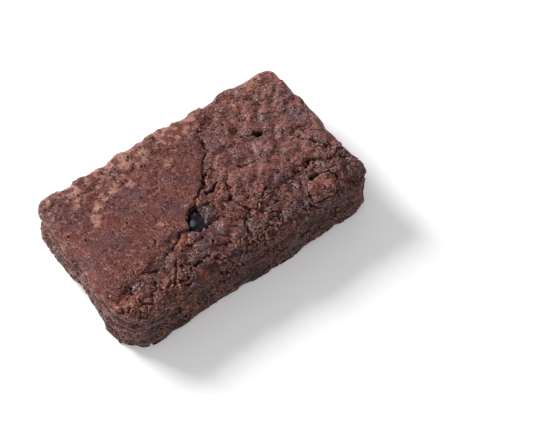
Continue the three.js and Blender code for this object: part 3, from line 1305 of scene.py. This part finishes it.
    def lay(self, points: np.ndarray, normals: np.ndarray) -> Lay:
        """Find each vertex's share of the bar's named areas.

        Args:
            points: The vertices' places.
            normals: The directions they face.

        Returns:
            The shares, with the places and directions.
        """
        x, _, z = points.T
        inside = self.inside_crust(points)
        top = ramp(z + 1.2 * noise(points, 4.0, 31), 13.5, 17.0)
        soft = 0.4 + 2.2 * ramp(-x, 12.0, 24.0)
        in_plate = self.in_plate(points)
        high = ramp(z, 14.0, 17.0)
        return Lay(
            points, normals, inside, top,
            crust=ramp(inside, -soft, soft) * top,
            calm=ramp(in_plate + 1.2 * noise(points, 2.6, 23), -3.4, -1.4) * high,
            plate=ramp(in_plate, -0.1, 0.5) * high,
            lump=(1.0 - ramp(self.lump.share(points) + 0.2 * noise(points, 1.5, 19), 0.85, 1.15)) * top,
            lobe=1.0 - ramp(self.lobe.share(points), 0.8, 1.15),
            left=ramp(-normals[:, 0], 0.25, 0.6) * ramp(z + 2.0 * noise(points, 4.0, 16), 2.0, 6.0),
        )

    def porous(self, at: Lay) -> np.ndarray:
        """Share of thin flaky skin: the top's back right, round the plate, and some of the left end.

        Args:
            at: How the bar's vertices lie.

        Returns:
            A share from 0 to 1 for each vertex.
        """
        x, y, _ = at.points.T
        back = ramp(y + 2.5 * noise(at.points, 7.0, 32), -12.0, -3.0) * ramp(x, -2.0, 8.0)
        porous = np.maximum(back * (1.0 - at.crust) * at.top, 0.75 * at.calm * at.top)
        return np.maximum(porous, 0.6 * at.left * (1.0 - at.top))

    def dense(self, at: Lay) -> np.ndarray:
        """Share of dense cake: the sides, with less of it in the front one above its foot, and the lobe.

        Args:
            at: How the bar's vertices lie.

        Returns:
            A share from 0 to 1 for each vertex.
        """
        x, _, z = at.points.T
        right = ramp(x + 5.0 * noise(at.points, 6.0, 33), -4.0, 9.0)
        front = ramp(-at.normals[:, 1], 0.3, 0.7)
        strip = 1.0 - ramp(z + 1.5 * noise(at.points, 4.0, 40), 2.5, 6.0)
        sides = (1.0 - at.top) * mix(np.ones_like(x), np.maximum(strip, 0.1 + 0.4 * right), front)
        return np.maximum(sides, 0.8 * at.lobe * at.top) * (1.0 - 0.6 * at.left)

    def shade(self, at: Lay) -> np.ndarray:
        """Share of the sides' dark colour, which also stands as painted shade on the front of the top, and
        lies on the lobe and on the lump.

        Args:
            at: How the bar's vertices lie.

        Returns:
            A share from 0 to 1 for each vertex.
        """
        x, y, _ = at.points.T
        # Painted shade: the top darkens towards its front edge.
        front = ramp(-y + 3.0 * noise(at.points, 5.0, 29), 13.0, 23.0) * ramp(x, -30.0, -14.0)
        front *= 1.0 - at.crust
        shade = np.maximum((1.0 - at.top) * (1.0 - 0.8 * at.left), 0.75 * front * (1.0 - at.plate))
        return np.maximum(np.maximum(shade, 0.7 * at.lobe * at.top), 0.9 * at.lump)

    def slick_share(self, at: Lay, porous: np.ndarray) -> np.ndarray:
        """Share of the closed patches' greyish colour, on broken cake and on the lump."""
        patches = np.maximum(0.8 * self.slick(at.points) * (1.0 - 0.5 * porous), 0.55 * at.calm)
        return np.maximum(patches * (1.0 - at.crust) * (1.0 - at.plate), 0.75 * at.lump)

    def seam(self, at: Lay) -> np.ndarray:
        """Share of the dark red seam along the crust's edge, on its right stretch."""
        seam = 0.9 * bell(np.abs(at.inside + 1.1) / 2.2) * at.top * ramp(at.points[:, 0], 2.0, 9.0)
        return seam * ramp(noise(at.points, 1.8, 18), -0.5, 0.0)

    def tan_and_rim_light(self, at: Lay) -> np.ndarray:
        """Share of pale tan: the crust's named patches and the rim along the left end, with a painted
        highlight along the back rim.

        Args:
            at: How the bar's vertices lie.

        Returns:
            A share from 0 to 1 for each vertex.
        """
        _, y, z = at.points.T
        # Painted highlight: a pale band along the back rim, where light from behind falls.
        back_rim_light = ramp(y + 3.5 * noise(at.points, 4.0, 39), 15.0, 22.0)
        back_rim_light *= ramp(noise(at.points, 1.5, 24), 0.05, 0.3)
        left_rim = bell(np.abs(z - 17.0 + 1.2 * noise(at.points, 1.7, 15)) / 1.6)
        left_rim *= ramp(-at.normals[:, 0], 0.1, 0.4)
        left_rim *= ramp(noise(at.points, 1.3, 14), -0.2, 0.2)
        rims = np.maximum(0.8 * back_rim_light * at.top, 0.7 * left_rim)
        return np.maximum(self.patches(self.tan_patches, at.points, 34), rims)

    def rust(self, at: Lay, porous: np.ndarray) -> np.ndarray:
        """Share of orange-brown: the named patches, part of the plate, and specks in broken cake.

        Args:
            at: How the bar's vertices lie.
            porous: Share of thin skin at each vertex.

        Returns:
            A share from 0 to 1 for each vertex.
        """
        patches = 0.85 * self.patches(self.rust_patches, at.points, 36)
        plate = 0.42 * at.plate * ramp(noise(at.points, 1.2, 20), -0.4, 0.4)
        specks = ramp(noise(at.points, 1.9, 26) + 0.4 * noise(at.points, 0.9, 25), 0.5, 0.75)
        specks *= 1.0 - at.crust
        specks = (0.4 + 0.3 * at.top) * specks * (1.0 - 0.4 * porous) * (1.0 - at.closed())
        return np.maximum(np.maximum(patches, plate), specks)

    def sheen(self, at: Lay) -> np.ndarray:
        """Share of violet-grey sheen: its named patches, and a little on the lump."""
        patches = (0.3 + 0.45 * at.top) * self.patches(self.sheen_patches, at.points, 38)
        return np.maximum(patches, 0.25 * at.lump)

    def relief(self, points: np.ndarray, zones: dict[str, np.ndarray]) -> np.ndarray:
        """Height of the skin over the smooth bar.

        Args:
            points: The vertices' places.
            zones: Share of each kind of surface.

        Returns:
            Height in millimetres for each vertex.
        """
        bent = points + 0.45 * np.stack([noise(points, 1.5, 41 + k) for k in range(3)], axis=1)
        bent += 0.16 * np.stack([noise(points, 0.6, 44 + k) for k in range(3)], axis=1)
        height = where_shown(zones["crust"], bent, self.crust_relief)
        height += where_shown(zones["porous"], bent, self.porous_relief)
        height += where_shown(zones["coarse"], bent, self.coarse_relief)
        height += where_shown(zones["dense"], bent, self.dense_relief)
        height += where_shown(zones["left"], bent, self.left_relief)
        height += 0.05 * noise(points, 0.8, 47) + 0.05 * noise(points, 0.5, 48)
        height += zones["top"] * self.edge_relief(bent, zones["inside"])
        height += zones["top"] * self.hollow_relief(bent)
        for crack in self.cracks:
            reach = distance_to_line(bent, np.array(crack.places))
            height -= crack.depth * bell(reach / crack.half_width)
        return height

    def crust_relief(self, points: np.ndarray) -> np.ndarray:
        """Thin smooth crust: gentle waves, flaked layers along the back, pinholes and faint cracks.

        Args:
            points: Places in millimetres, three numbers a row.

        Returns:
            Height of the relief in millimetres.
        """
        waves = 0.2 * noise(points, 7.0, 51) + ragged(points, 2.2, 52, 0.05)
        back = 0.12 + 0.88 * ramp(points[:, 1] + 3.0 * noise(points, 6.0, 54), 7.0, 16.0)
        torn = back * (layers(streaked(points, 0.5), 2.6, 53, 0.2) + ragged(points, 1.4, 56, 0.1))
        blisters = -back * pores(points, 2.6, 55, 0.4, 1.0, 0.3)
        pits = pores(points, 2.2, 57, 0.3, 0.5, 0.9, 0.12) + pores(points, 1.1, 58, 0.4, 0.34, 0.5, 0.1)
        return waves + blisters + torn + pits + crevices(points, 4.0, 59, 0.3, 0.06, 0.3)

    def porous_relief(self, points: np.ndarray) -> np.ndarray:
        """Thin flaky skin over crumb: flaked layers with narrow cracks and many small pores.

        Args:
            points: Places in millimetres, three numbers a row.

        Returns:
            Height of the relief in millimetres.
        """
        streaky = streaked(points, 0.5)
        rough = 1.0 - 0.7 * self.slick(points)
        skins = layers(streaky, 3.0, 61, 0.08) + rough * ragged(streaky, 0.9, 68, 0.045)
        cracks = crevices(streaky, 4.6, 62, 0.9, 0.055, 0.5) + crevices(streaky, 2.2, 67, 0.4, 0.07, 0.4)
        return skins + cracks + pores(points, 2.4, 65, 0.3, 0.42, 1.0, 0.05)

    def coarse_relief(self, points: np.ndarray) -> np.ndarray:
        """Open crumb: smooth closed patches between crevices, and rough torn places.

        Args:
            points: Places in millimetres, three numbers a row.

        Returns:
            Height of the relief in millimetres.
        """
        streaky = streaked(points, 0.35)
        rough = 1.0 - 0.8 * self.slick(points)
        large = facets(points, 4.4, 71, 0.45, 0.08) + rough * facets(streaky, 1.4, 72, 0.24, 0.12)
        cracks = crevices(streaky, 4.2, 77, 1.0, 0.08, 0.6) + crevices(streaky, 2.0, 78, 0.6, 0.1, 0.45)
        holes = pores(points, 2.2, 74, 0.45, 0.6, 1.2, 0.06) + pores(points, 1.05, 75, 0.5, 0.38, 0.9, 0.06)
        return large + cracks + rough * ragged(points, 1.1, 73, 0.2) + holes

    def dense_relief(self, points: np.ndarray) -> np.ndarray:
        """Dense sides: closed patches, level fissures, a few rough places and holes.

        Args:
            points: Places in millimetres, three numbers a row.

        Returns:
            Height of the relief in millimetres.
        """
        level = points * np.array([0.7, 0.7, 1.2])
        rough = 1.0 - 0.7 * self.slick(points)
        torn = layers(level, 2.6, 84, 0.1) + ragged(level, 1.2, 82, 0.16)
        scales = facets(level, 4.2, 81, 0.5, 0.1) + rough * torn
        cracks = crevices(level, 3.8, 88, 1.3, 0.1, 0.7) + rough * crevices(level, 1.9, 86, 0.6, 0.12, 0.5)
        return scales + cracks + pores(points, 2.2, 87, 0.45, 0.5, 0.9, 0.06)

    def left_relief(self, points: np.ndarray) -> np.ndarray:
        """Left end: long level ledges with dark gaps under them."""
        level = points * np.array([0.5, 0.5, 1.5])
        return layers(level, 2.6, 13, 0.28) + crevices(level, 2.8, 12, 1.2, 0.14, 0.6)

    def edge_relief(self, points: np.ndarray, inside: np.ndarray) -> np.ndarray:
        """The crust's broken edge: a low step, with a dark gap where it has lifted.

        Args:
            points: Places in millimetres, three numbers a row.
            inside: Distance from the crust's broken edge, positive on the crust.

        Returns:
            Height of the relief in millimetres.
        """
        x, y, _ = points.T
        near_pit = np.exp(-((x + 4.0) / 7.0) ** 2)
        chance = ramp(noise(points, 5.5, 91), 0.1, 0.5) * ramp(x, -20.0, -12.0)
        torn = ramp(x, 4.0, 7.0) * ramp(y, 22.0, 16.0) * ramp(noise(points, 3.0, 94), -0.25, 0.15)
        lifted = np.maximum(np.maximum(near_pit, 0.6 * chance), 0.75 * torn)
        step = 0.25 * (0.2 + 0.8 * ramp(x, -24.0, -10.0)) * ramp(inside, -0.4, 0.4)
        return step - 0.9 * lifted * bell(np.abs(inside + 0.35) / 0.6)

    def hollow_relief(self, points: np.ndarray) -> np.ndarray:
        """The pit, the dark hole, the raised plate, lobe, tongue and lump, and the largest pinholes.

        Args:
            points: Places in millimetres, three numbers a row.

        Returns:
            Height of the relief in millimetres.
        """
        uneven = 0.16 * noise(points, 2.2, 92) + 0.07 * noise(points, 1.0, 93)
        height = -1.6 * (1.0 - ramp(self.pit.share(points) + uneven, 0.75, 1.08))
        height -= 1.5 * (1.0 - ramp(self.dark_hole.share(points) + 2.0 * uneven, 0.3, 1.1))
        in_plate = self.in_plate(points)
        grainy = 0.16 * noise(points, 0.9, 94) + 0.12 * noise(points, 0.5, 95)
        height += ramp(in_plate, 0.0, 0.8) * (0.08 + 0.2 * ramp(in_plate, 0.0, 4.0) + grainy)
        height -= 0.95 * bell(np.abs(in_plate + 0.1) / (0.4 + 0.16 * noise(points, 3.0, 90)))
        for oval, lift in ((self.lobe, 0.4), (self.tongue, 0.25), (self.lump, 0.4)):
            height += lift * (1.0 - ramp(oval.share(points) + uneven, 0.75, 1.0))
        for x, y in self.pinholes:
            reach = np.hypot(points[:, 0] - x, points[:, 1] - y)
            height += 0.14 * bell(np.abs(reach - 0.62) / 0.3) - 0.9 * bell(reach / 0.5)
        return height

    def write_numbers(self, mesh: bpy.types.Mesh, zones: dict[str, np.ndarray]) -> None:
        """Store what the finish and the loose bits read: the zones, and how hollow each place is.

        Args:
            mesh: The bar's mesh.
            zones: Share of each kind of surface at each vertex.
        """
        points = mesh_points(mesh)
        smooth = evened(mesh, mesh_normals(mesh), 3)
        near = np.sum((evened(mesh, points, 4) - points) * smooth, axis=1)
        wide = np.sum((evened(mesh, points, 50) - points) * smooth, axis=1)
        hollow = np.clip(0.5 + 0.17 * near / near.std() + 0.04 * wide / wide.std(), 0.0, 1.0)
        low = points[:, 2] < self.base_height
        on_base = {"dense": 1.0, "shade": 1.0, "slick": 0.35}
        write_number(mesh, "hollow", np.where(low, 0.5, hollow))
        for name, values in zones.items():
            write_number(mesh, name, np.where(low, on_base.get(name, 0.0), values))


# Bits on the bar

def spread_mesh(name: str, shape: bpy.types.Mesh, places: np.ndarray, turns: np.ndarray,
                sizes: np.ndarray, wobble: np.ndarray, tones: np.ndarray) -> bpy.types.Object:
    """Join many uneven copies of one shape into one piece.

    Args:
        name: The piece's name.
        shape: The shape that is repeated, one millimetre in radius.
        places: Where each copy lies, in millimetres.
        turns: A turning matrix for each copy.
        sizes: Three sizes for each copy, in millimetres.
        wobble: How far each corner of each copy stands out, as a share.
        tones: A number from 0 to 1 for each copy's colour.

    Returns:
        The joined piece.
    """
    corners = mesh_points(shape)
    faces = np.array([tuple(p.vertices) for p in shape.polygons])
    grown = corners[None] * wobble[:, :, None] * sizes[:, None, :]
    turned = np.einsum("nij,nvj->nvi", turns, grown) + places[:, None, :]
    starts = np.arange(len(places)) * len(corners)
    all_faces = (faces[None] + starts[:, None, None]).reshape(-1, faces.shape[1])
    mesh = bpy.data.meshes.new(name)
    mesh.from_pydata((turned.reshape(-1, 3) * MM).tolist(), [], all_faces.tolist())
    mesh.update()
    write_number(mesh, "tone", np.repeat(tones, len(corners)))
    piece = bpy.data.objects.new(name, mesh)
    bpy.context.scene.collection.objects.link(piece)
    return piece


def random_turns(generator: np.random.Generator, count: int) -> np.ndarray:
    """Turning matrices that point every way alike.

    Args:
        generator: Gives the random numbers.
        count: How many matrices.

    Returns:
        One matrix of three rows for each.
    """
    q = generator.normal(size=(count, 4))
    w, x, y, z = (q / np.linalg.norm(q, axis=1)[:, None]).T
    return np.stack([
        np.stack([1 - 2 * (y * y + z * z), 2 * (x * y - z * w), 2 * (x * z + y * w)], axis=1),
        np.stack([2 * (x * y + z * w), 1 - 2 * (x * x + z * z), 2 * (y * z - x * w)], axis=1),
        np.stack([2 * (x * z - y * w), 2 * (y * z + x * w), 1 - 2 * (x * x + y * y)], axis=1),
    ], axis=1)


def turns_along(normals: np.ndarray, angles: np.ndarray) -> np.ndarray:
    """Turning matrices whose third axis is a normal, spun about it by an angle.

    Args:
        normals: One direction a row.
        angles: One angle for each, in radians.

    Returns:
        One matrix of three rows for each.
    """
    aside = np.where(np.abs(normals[:, 2:3]) < 0.9, [[0.0, 0.0, 1.0]], [[1.0, 0.0, 0.0]])
    first = np.cross(aside, normals)
    first /= np.linalg.norm(first, axis=1)[:, None]
    second = np.cross(normals, first)
    c, s = np.cos(angles)[:, None], np.sin(angles)[:, None]
    return np.stack([first * c + second * s, second * c - first * s, normals], axis=2)


@dataclass
class Crumbs:
    """Loose angular crumbs, half sunk in the open crumb."""

    name: str
    count: int
    smallest: float
    largest: float
    sunk: float
    seed: int
    divisions: int = 1

    def build(self, cake: bpy.types.Object, weight: np.ndarray, finish: BitFinish) -> bpy.types.Object:
        """Scatter the crumbs over the cake.

        Args:
            cake: The carved bar.
            weight: How likely a crumb is at each of its vertices.
            finish: What the crumbs are dressed with.

        Returns:
            The finished piece.
        """
        generator = np.random.default_rng(self.seed)
        points, normals = mesh_points(cake.data), mesh_normals(cake.data)
        chosen = generator.choice(len(points), self.count, replace=False, p=weight / weight.sum())
        radius = self.smallest + (self.largest - self.smallest) * generator.random(self.count) ** 2.2
        sizes = radius[:, None] * generator.uniform(0.65, 1.25, (self.count, 3))
        places = points[chosen] + normals[chosen] * (radius * (1.0 - 2.0 * self.sunk))[:, None]
        places[:, 2] = np.maximum(places[:, 2], radius * 1.3)
        bpy.ops.object.select_all(action="DESELECT")
        bpy.ops.mesh.primitive_ico_sphere_add(subdivisions=self.divisions, radius=MM)
        model = bpy.context.object
        wobble = generator.uniform(0.72, 1.2, (self.count, len(model.data.vertices)))
        piece = spread_mesh(
            self.name, model.data, places, random_turns(generator, self.count), sizes, wobble,
            generator.random(self.count) ** 1.5,
        )
        bpy.data.objects.remove(model)
        dress(piece, finish.make())
        return piece


@dataclass
class Flakes:
    """Thin curled shards of crust that lie over the broken places."""

    name: str = "crust_flakes"
    count: int = 36
    smallest: float = 0.4
    largest: float = 1.1
    thickness: float = 0.07
    curl: float = 0.12
    corners: int = 7
    seed: int = 5

    def shard(self) -> bpy.types.Object:
        """One shard: a disc of uneven outline, curled and thickened.

        Returns:
            The shard, an object.
        """
        bpy.ops.object.select_all(action="DESELECT")
        bpy.ops.mesh.primitive_circle_add(vertices=self.corners, radius=MM, fill_type="TRIFAN")
        model = bpy.context.object
        bpy.ops.object.mode_set(mode="EDIT")
        bpy.ops.mesh.select_all(action="SELECT")
        upwards = (0.0, 0.0, 2.0 * self.thickness * MM)
        bpy.ops.mesh.extrude_region_move(TRANSFORM_OT_translate={"value": upwards})
        bpy.ops.mesh.select_all(action="SELECT")
        bpy.ops.mesh.quads_convert_to_tris()
        bpy.ops.mesh.normals_make_consistent(inside=False)
        bpy.ops.object.mode_set(mode="OBJECT")
        points = mesh_points(model.data)
        points[:, 2] += self.curl * (points[:, 0] ** 2 - 0.5)
        move_points(model.data, points)
        return model

    def build(self, cake: bpy.types.Object, weight: np.ndarray, finish: BitFinish) -> bpy.types.Object:
        """Scatter the shards over the cake.

        Args:
            cake: The carved bar.
            weight: How likely a shard is at each of its vertices.
            finish: What the shards are dressed with.

        Returns:
            The finished piece.
        """
        generator = np.random.default_rng(self.seed)
        points = mesh_points(cake.data)
        normals = evened(cake.data, mesh_normals(cake.data), 8)
        chosen = generator.choice(len(points), self.count, replace=False, p=weight / weight.sum())
        lean = normals[chosen] + generator.normal(0.0, 0.2, (self.count, 3))
        lean /= np.linalg.norm(lean, axis=1)[:, None]
        radius = self.smallest + (self.largest - self.smallest) * generator.random(self.count) ** 1.6
        sizes = np.stack([radius, radius * generator.uniform(0.35, 0.75, self.count), radius], axis=1)
        model = self.shard()
        wobble = generator.uniform(0.55, 1.3, (self.count, len(model.data.vertices)))
        piece = spread_mesh(
            self.name, model.data, points[chosen] + lean * 0.02,
            turns_along(lean, generator.uniform(0.0, 2.0 * math.pi, self.count)), sizes, wobble,
            generator.random(self.count),
        )
        bpy.data.objects.remove(model)
        dress(piece, finish.make())
        return piece


@dataclass(frozen=True)
class Pool:
    """One rounded lump of melted chocolate."""

    place: Point
    size: Point
    turn: float


@dataclass
class Melt:
    """The melted chocolate that has set in the pit: glossy lumps that have run together."""

    name: str
    pools: tuple[Pool, ...]
    voxel: float = 0.14
    evening: int = 6

    def build(self, finish: MeltFinish) -> bpy.types.Object:
        """Model the lumps, join them and dress them.

        Args:
            finish: What it is dressed with.

        Returns:
            The finished piece.
        """
        parts = [self.pool(pool, number) for number, pool in enumerate(self.pools)]
        bpy.ops.object.select_all(action="DESELECT")
        for part in parts:
            part.select_set(True)
        bpy.context.view_layer.objects.active = parts[0]
        bpy.ops.object.join()
        piece = parts[0]
        piece.name = self.name
        only(piece)
        remesh = piece.modifiers.new("one_skin", "REMESH")
        remesh.mode = "VOXEL"
        remesh.voxel_size = self.voxel * MM
        bpy.ops.object.modifier_apply(modifier=remesh.name)
        points = evened(piece.data, mesh_points(piece.data), self.evening)
        normals = mesh_normals(piece.data)
        folds = 0.42 * noise(points, 1.7, 96) + 0.14 * noise(points, 0.8, 97)
        move_points(piece.data, points + normals * folds[:, None])
        bpy.ops.object.shade_smooth()
        dress(piece, finish.make())
        return piece

    def pool(self, pool: Pool, number: int) -> bpy.types.Object:
        """One lump: a ball, flattened, turned and made uneven.

        Args:
            pool: The lump.
            number: Its number, which gives it an unevenness of its own.

        Returns:
            The lump as an object.
        """
        bpy.ops.object.select_all(action="DESELECT")
        bpy.ops.mesh.primitive_ico_sphere_add(subdivisions=4, radius=MM)
        model = bpy.context.object
        points = mesh_points(model.data)
        points *= (1.0 + 0.2 * noise(points * 1.3, 1.0, 91 + number))[:, None]
        points *= np.array(pool.size)
        angle = math.radians(pool.turn)
        c, s = math.cos(angle), math.sin(angle)
        turn = np.array([[c, -s, 0.0], [s, c, 0.0], [0.0, 0.0, 1.0]])
        move_points(model.data, points @ turn.T + np.array(pool.place))
        return model


POOL = Melt("melted_chocolate", (
    Pool((-7.9, -8.8, 17.3), (3.9, 2.8, 1.6), 64),
    Pool((-6.4, -5.6, 17.0), (2.7, 2.0, 1.4), 62),
    Pool((-5.6, -8.8, 17.5), (3.0, 1.6, 1.2), 70),
))


# The studio

@dataclass
class Studio:
    """A plain pale floor, soft light from above and behind, and the camera.

    The lamps' places and sizes are in metres.
    """

    azimuth: float = -37.0
    elevation: float = 56.84
    distance: float = 619.4
    aside: float = 21.04
    lift: float = 1.45
    lens: float = 135.0
    sky: float = 0.4
    lamps: tuple[tuple[str, Point, float, float], ...] = (
        ("key", (-0.22, 0.6, 0.5), 0.3, 7.8),
        ("fill", (-0.45, -0.35, 0.4), 0.6, 0.4),
    )
    floor_size: float = 6000.0
    floor_gap: float = 0.02
    floor_colour: Colour = (0.9, 0.9, 0.9, 1.0)
    floor_glow: float = 0.22

    def build(self) -> None:
        """Make the floor, the lights and the camera."""
        self.floor()
        self.light()
        self.camera()
        bpy.context.scene.view_settings.view_transform = "Standard"

    def floor(self) -> None:
        """A wide level floor, a hair's breadth under the bar's base."""
        bpy.ops.object.select_all(action="DESELECT")
        level = (0.0, 0.0, -self.floor_gap * MM)
        bpy.ops.mesh.primitive_plane_add(size=self.floor_size * MM, location=level)
        floor = bpy.context.object
        floor.name = "floor"
        sheet = Sheet("pale_floor")
        sheet.shader.inputs["Base Color"].default_value = self.floor_colour
        sheet.shader.inputs["Roughness"].default_value = 0.9
        sheet.shader.inputs["Emission Color"].default_value = WHITE
        sheet.shader.inputs["Emission Strength"].default_value = self.floor_glow
        floor.data.materials.append(sheet.material)

    def light(self) -> None:
        """The sky and the lamps, each aimed at the bar."""
        world = bpy.data.worlds.new("sky")
        world.use_nodes = True
        background = world.node_tree.nodes["Background"]
        background.inputs["Color"].default_value = WHITE
        background.inputs["Strength"].default_value = self.sky
        bpy.context.scene.world = world
        for name, place, size, power in self.lamps:
            data = bpy.data.lights.new(name, "AREA")
            data.size = size
            data.energy = power
            lamp = bpy.data.objects.new(name, data)
            lamp.location = place
            lamp.rotation_euler = (-Vector(place)).to_track_quat("-Z", "Y").to_euler()
            bpy.context.scene.collection.objects.link(lamp)

    def camera(self) -> None:
        """The camera, placed by its angles round the bar."""
        a, e = math.radians(self.azimuth), math.radians(self.elevation)
        back = Vector((math.sin(a) * math.cos(e), -math.cos(a) * math.cos(e), math.sin(e)))
        right = Vector((math.cos(a), math.sin(a), 0.0))
        up = back.cross(right)
        data = bpy.data.cameras.new("camera")
        data.lens = self.lens
        data.sensor_width = 36.0
        data.clip_start, data.clip_end = 0.01, 10.0
        camera = bpy.data.objects.new("camera", data)
        camera.location = (back * self.distance + right * self.aside + up * self.lift) * MM
        camera.rotation_mode = "QUATERNION"
        camera.rotation_quaternion = (-back).to_track_quat("-Z", "Y")
        bpy.context.scene.collection.objects.link(camera)
        bpy.context.scene.camera = camera


def report(piece: bpy.types.Object) -> None:
    """Log a piece's name and its number of faces."""
    log.info("%s: %d faces", piece.name, len(piece.data.polygons))


def bit_weights(bar: bpy.types.Object) -> dict[str, np.ndarray]:
    """Work out how likely a loose bit is at each of the bar's vertices: none near its foot.

    Args:
        bar: The carved bar.

    Returns:
        Arrays named large, small and flake.
    """
    zones = {name: read_number(bar.data, name) for name in ("inside", "top", "porous", "dense", "coarse")}
    clear = (mesh_points(bar.data)[:, 2] > 2.5).astype(float)
    large = (zones["coarse"] + 0.15 * zones["porous"] + 0.03 * zones["dense"]) * clear
    near_edge = bell(np.abs(zones["inside"] + 0.6) / 2.0) * zones["top"] + 0.25 * zones["porous"]
    return {"large": large, "small": large + 0.01 * clear, "flake": near_edge * clear}


def main() -> None:
    """Build the studio, the bar and what lies on it, in order."""
    logging.basicConfig(level=logging.INFO, format="%(name)s %(message)s")
    Studio().build()
    bar = Cake().build(CakeFinish())
    report(bar)
    weights = bit_weights(bar)
    bits = BitFinish("crumb_bits", Palette.CRUMB, Palette.RUST)
    for name, crumbs in (
        ("large", Crumbs("large_crumbs", 70, 0.25, 0.55, 0.6, 11, 2)),
        ("small", Crumbs("small_crumbs", 700, 0.12, 0.3, 0.5, 12)),
    ):
        report(crumbs.build(bar, weights[name], bits))
    flake_finish = BitFinish("crust_bits", Palette.CRUST_RED, Palette.CRUST_TAN, 0.65)
    report(Flakes().build(bar, weights["flake"], flake_finish))
    report(POOL.build(MeltFinish("melted_chocolate", Palette.MELT, Palette.DENSE, 0.36)))


if __name__ == "__main__":
    main()
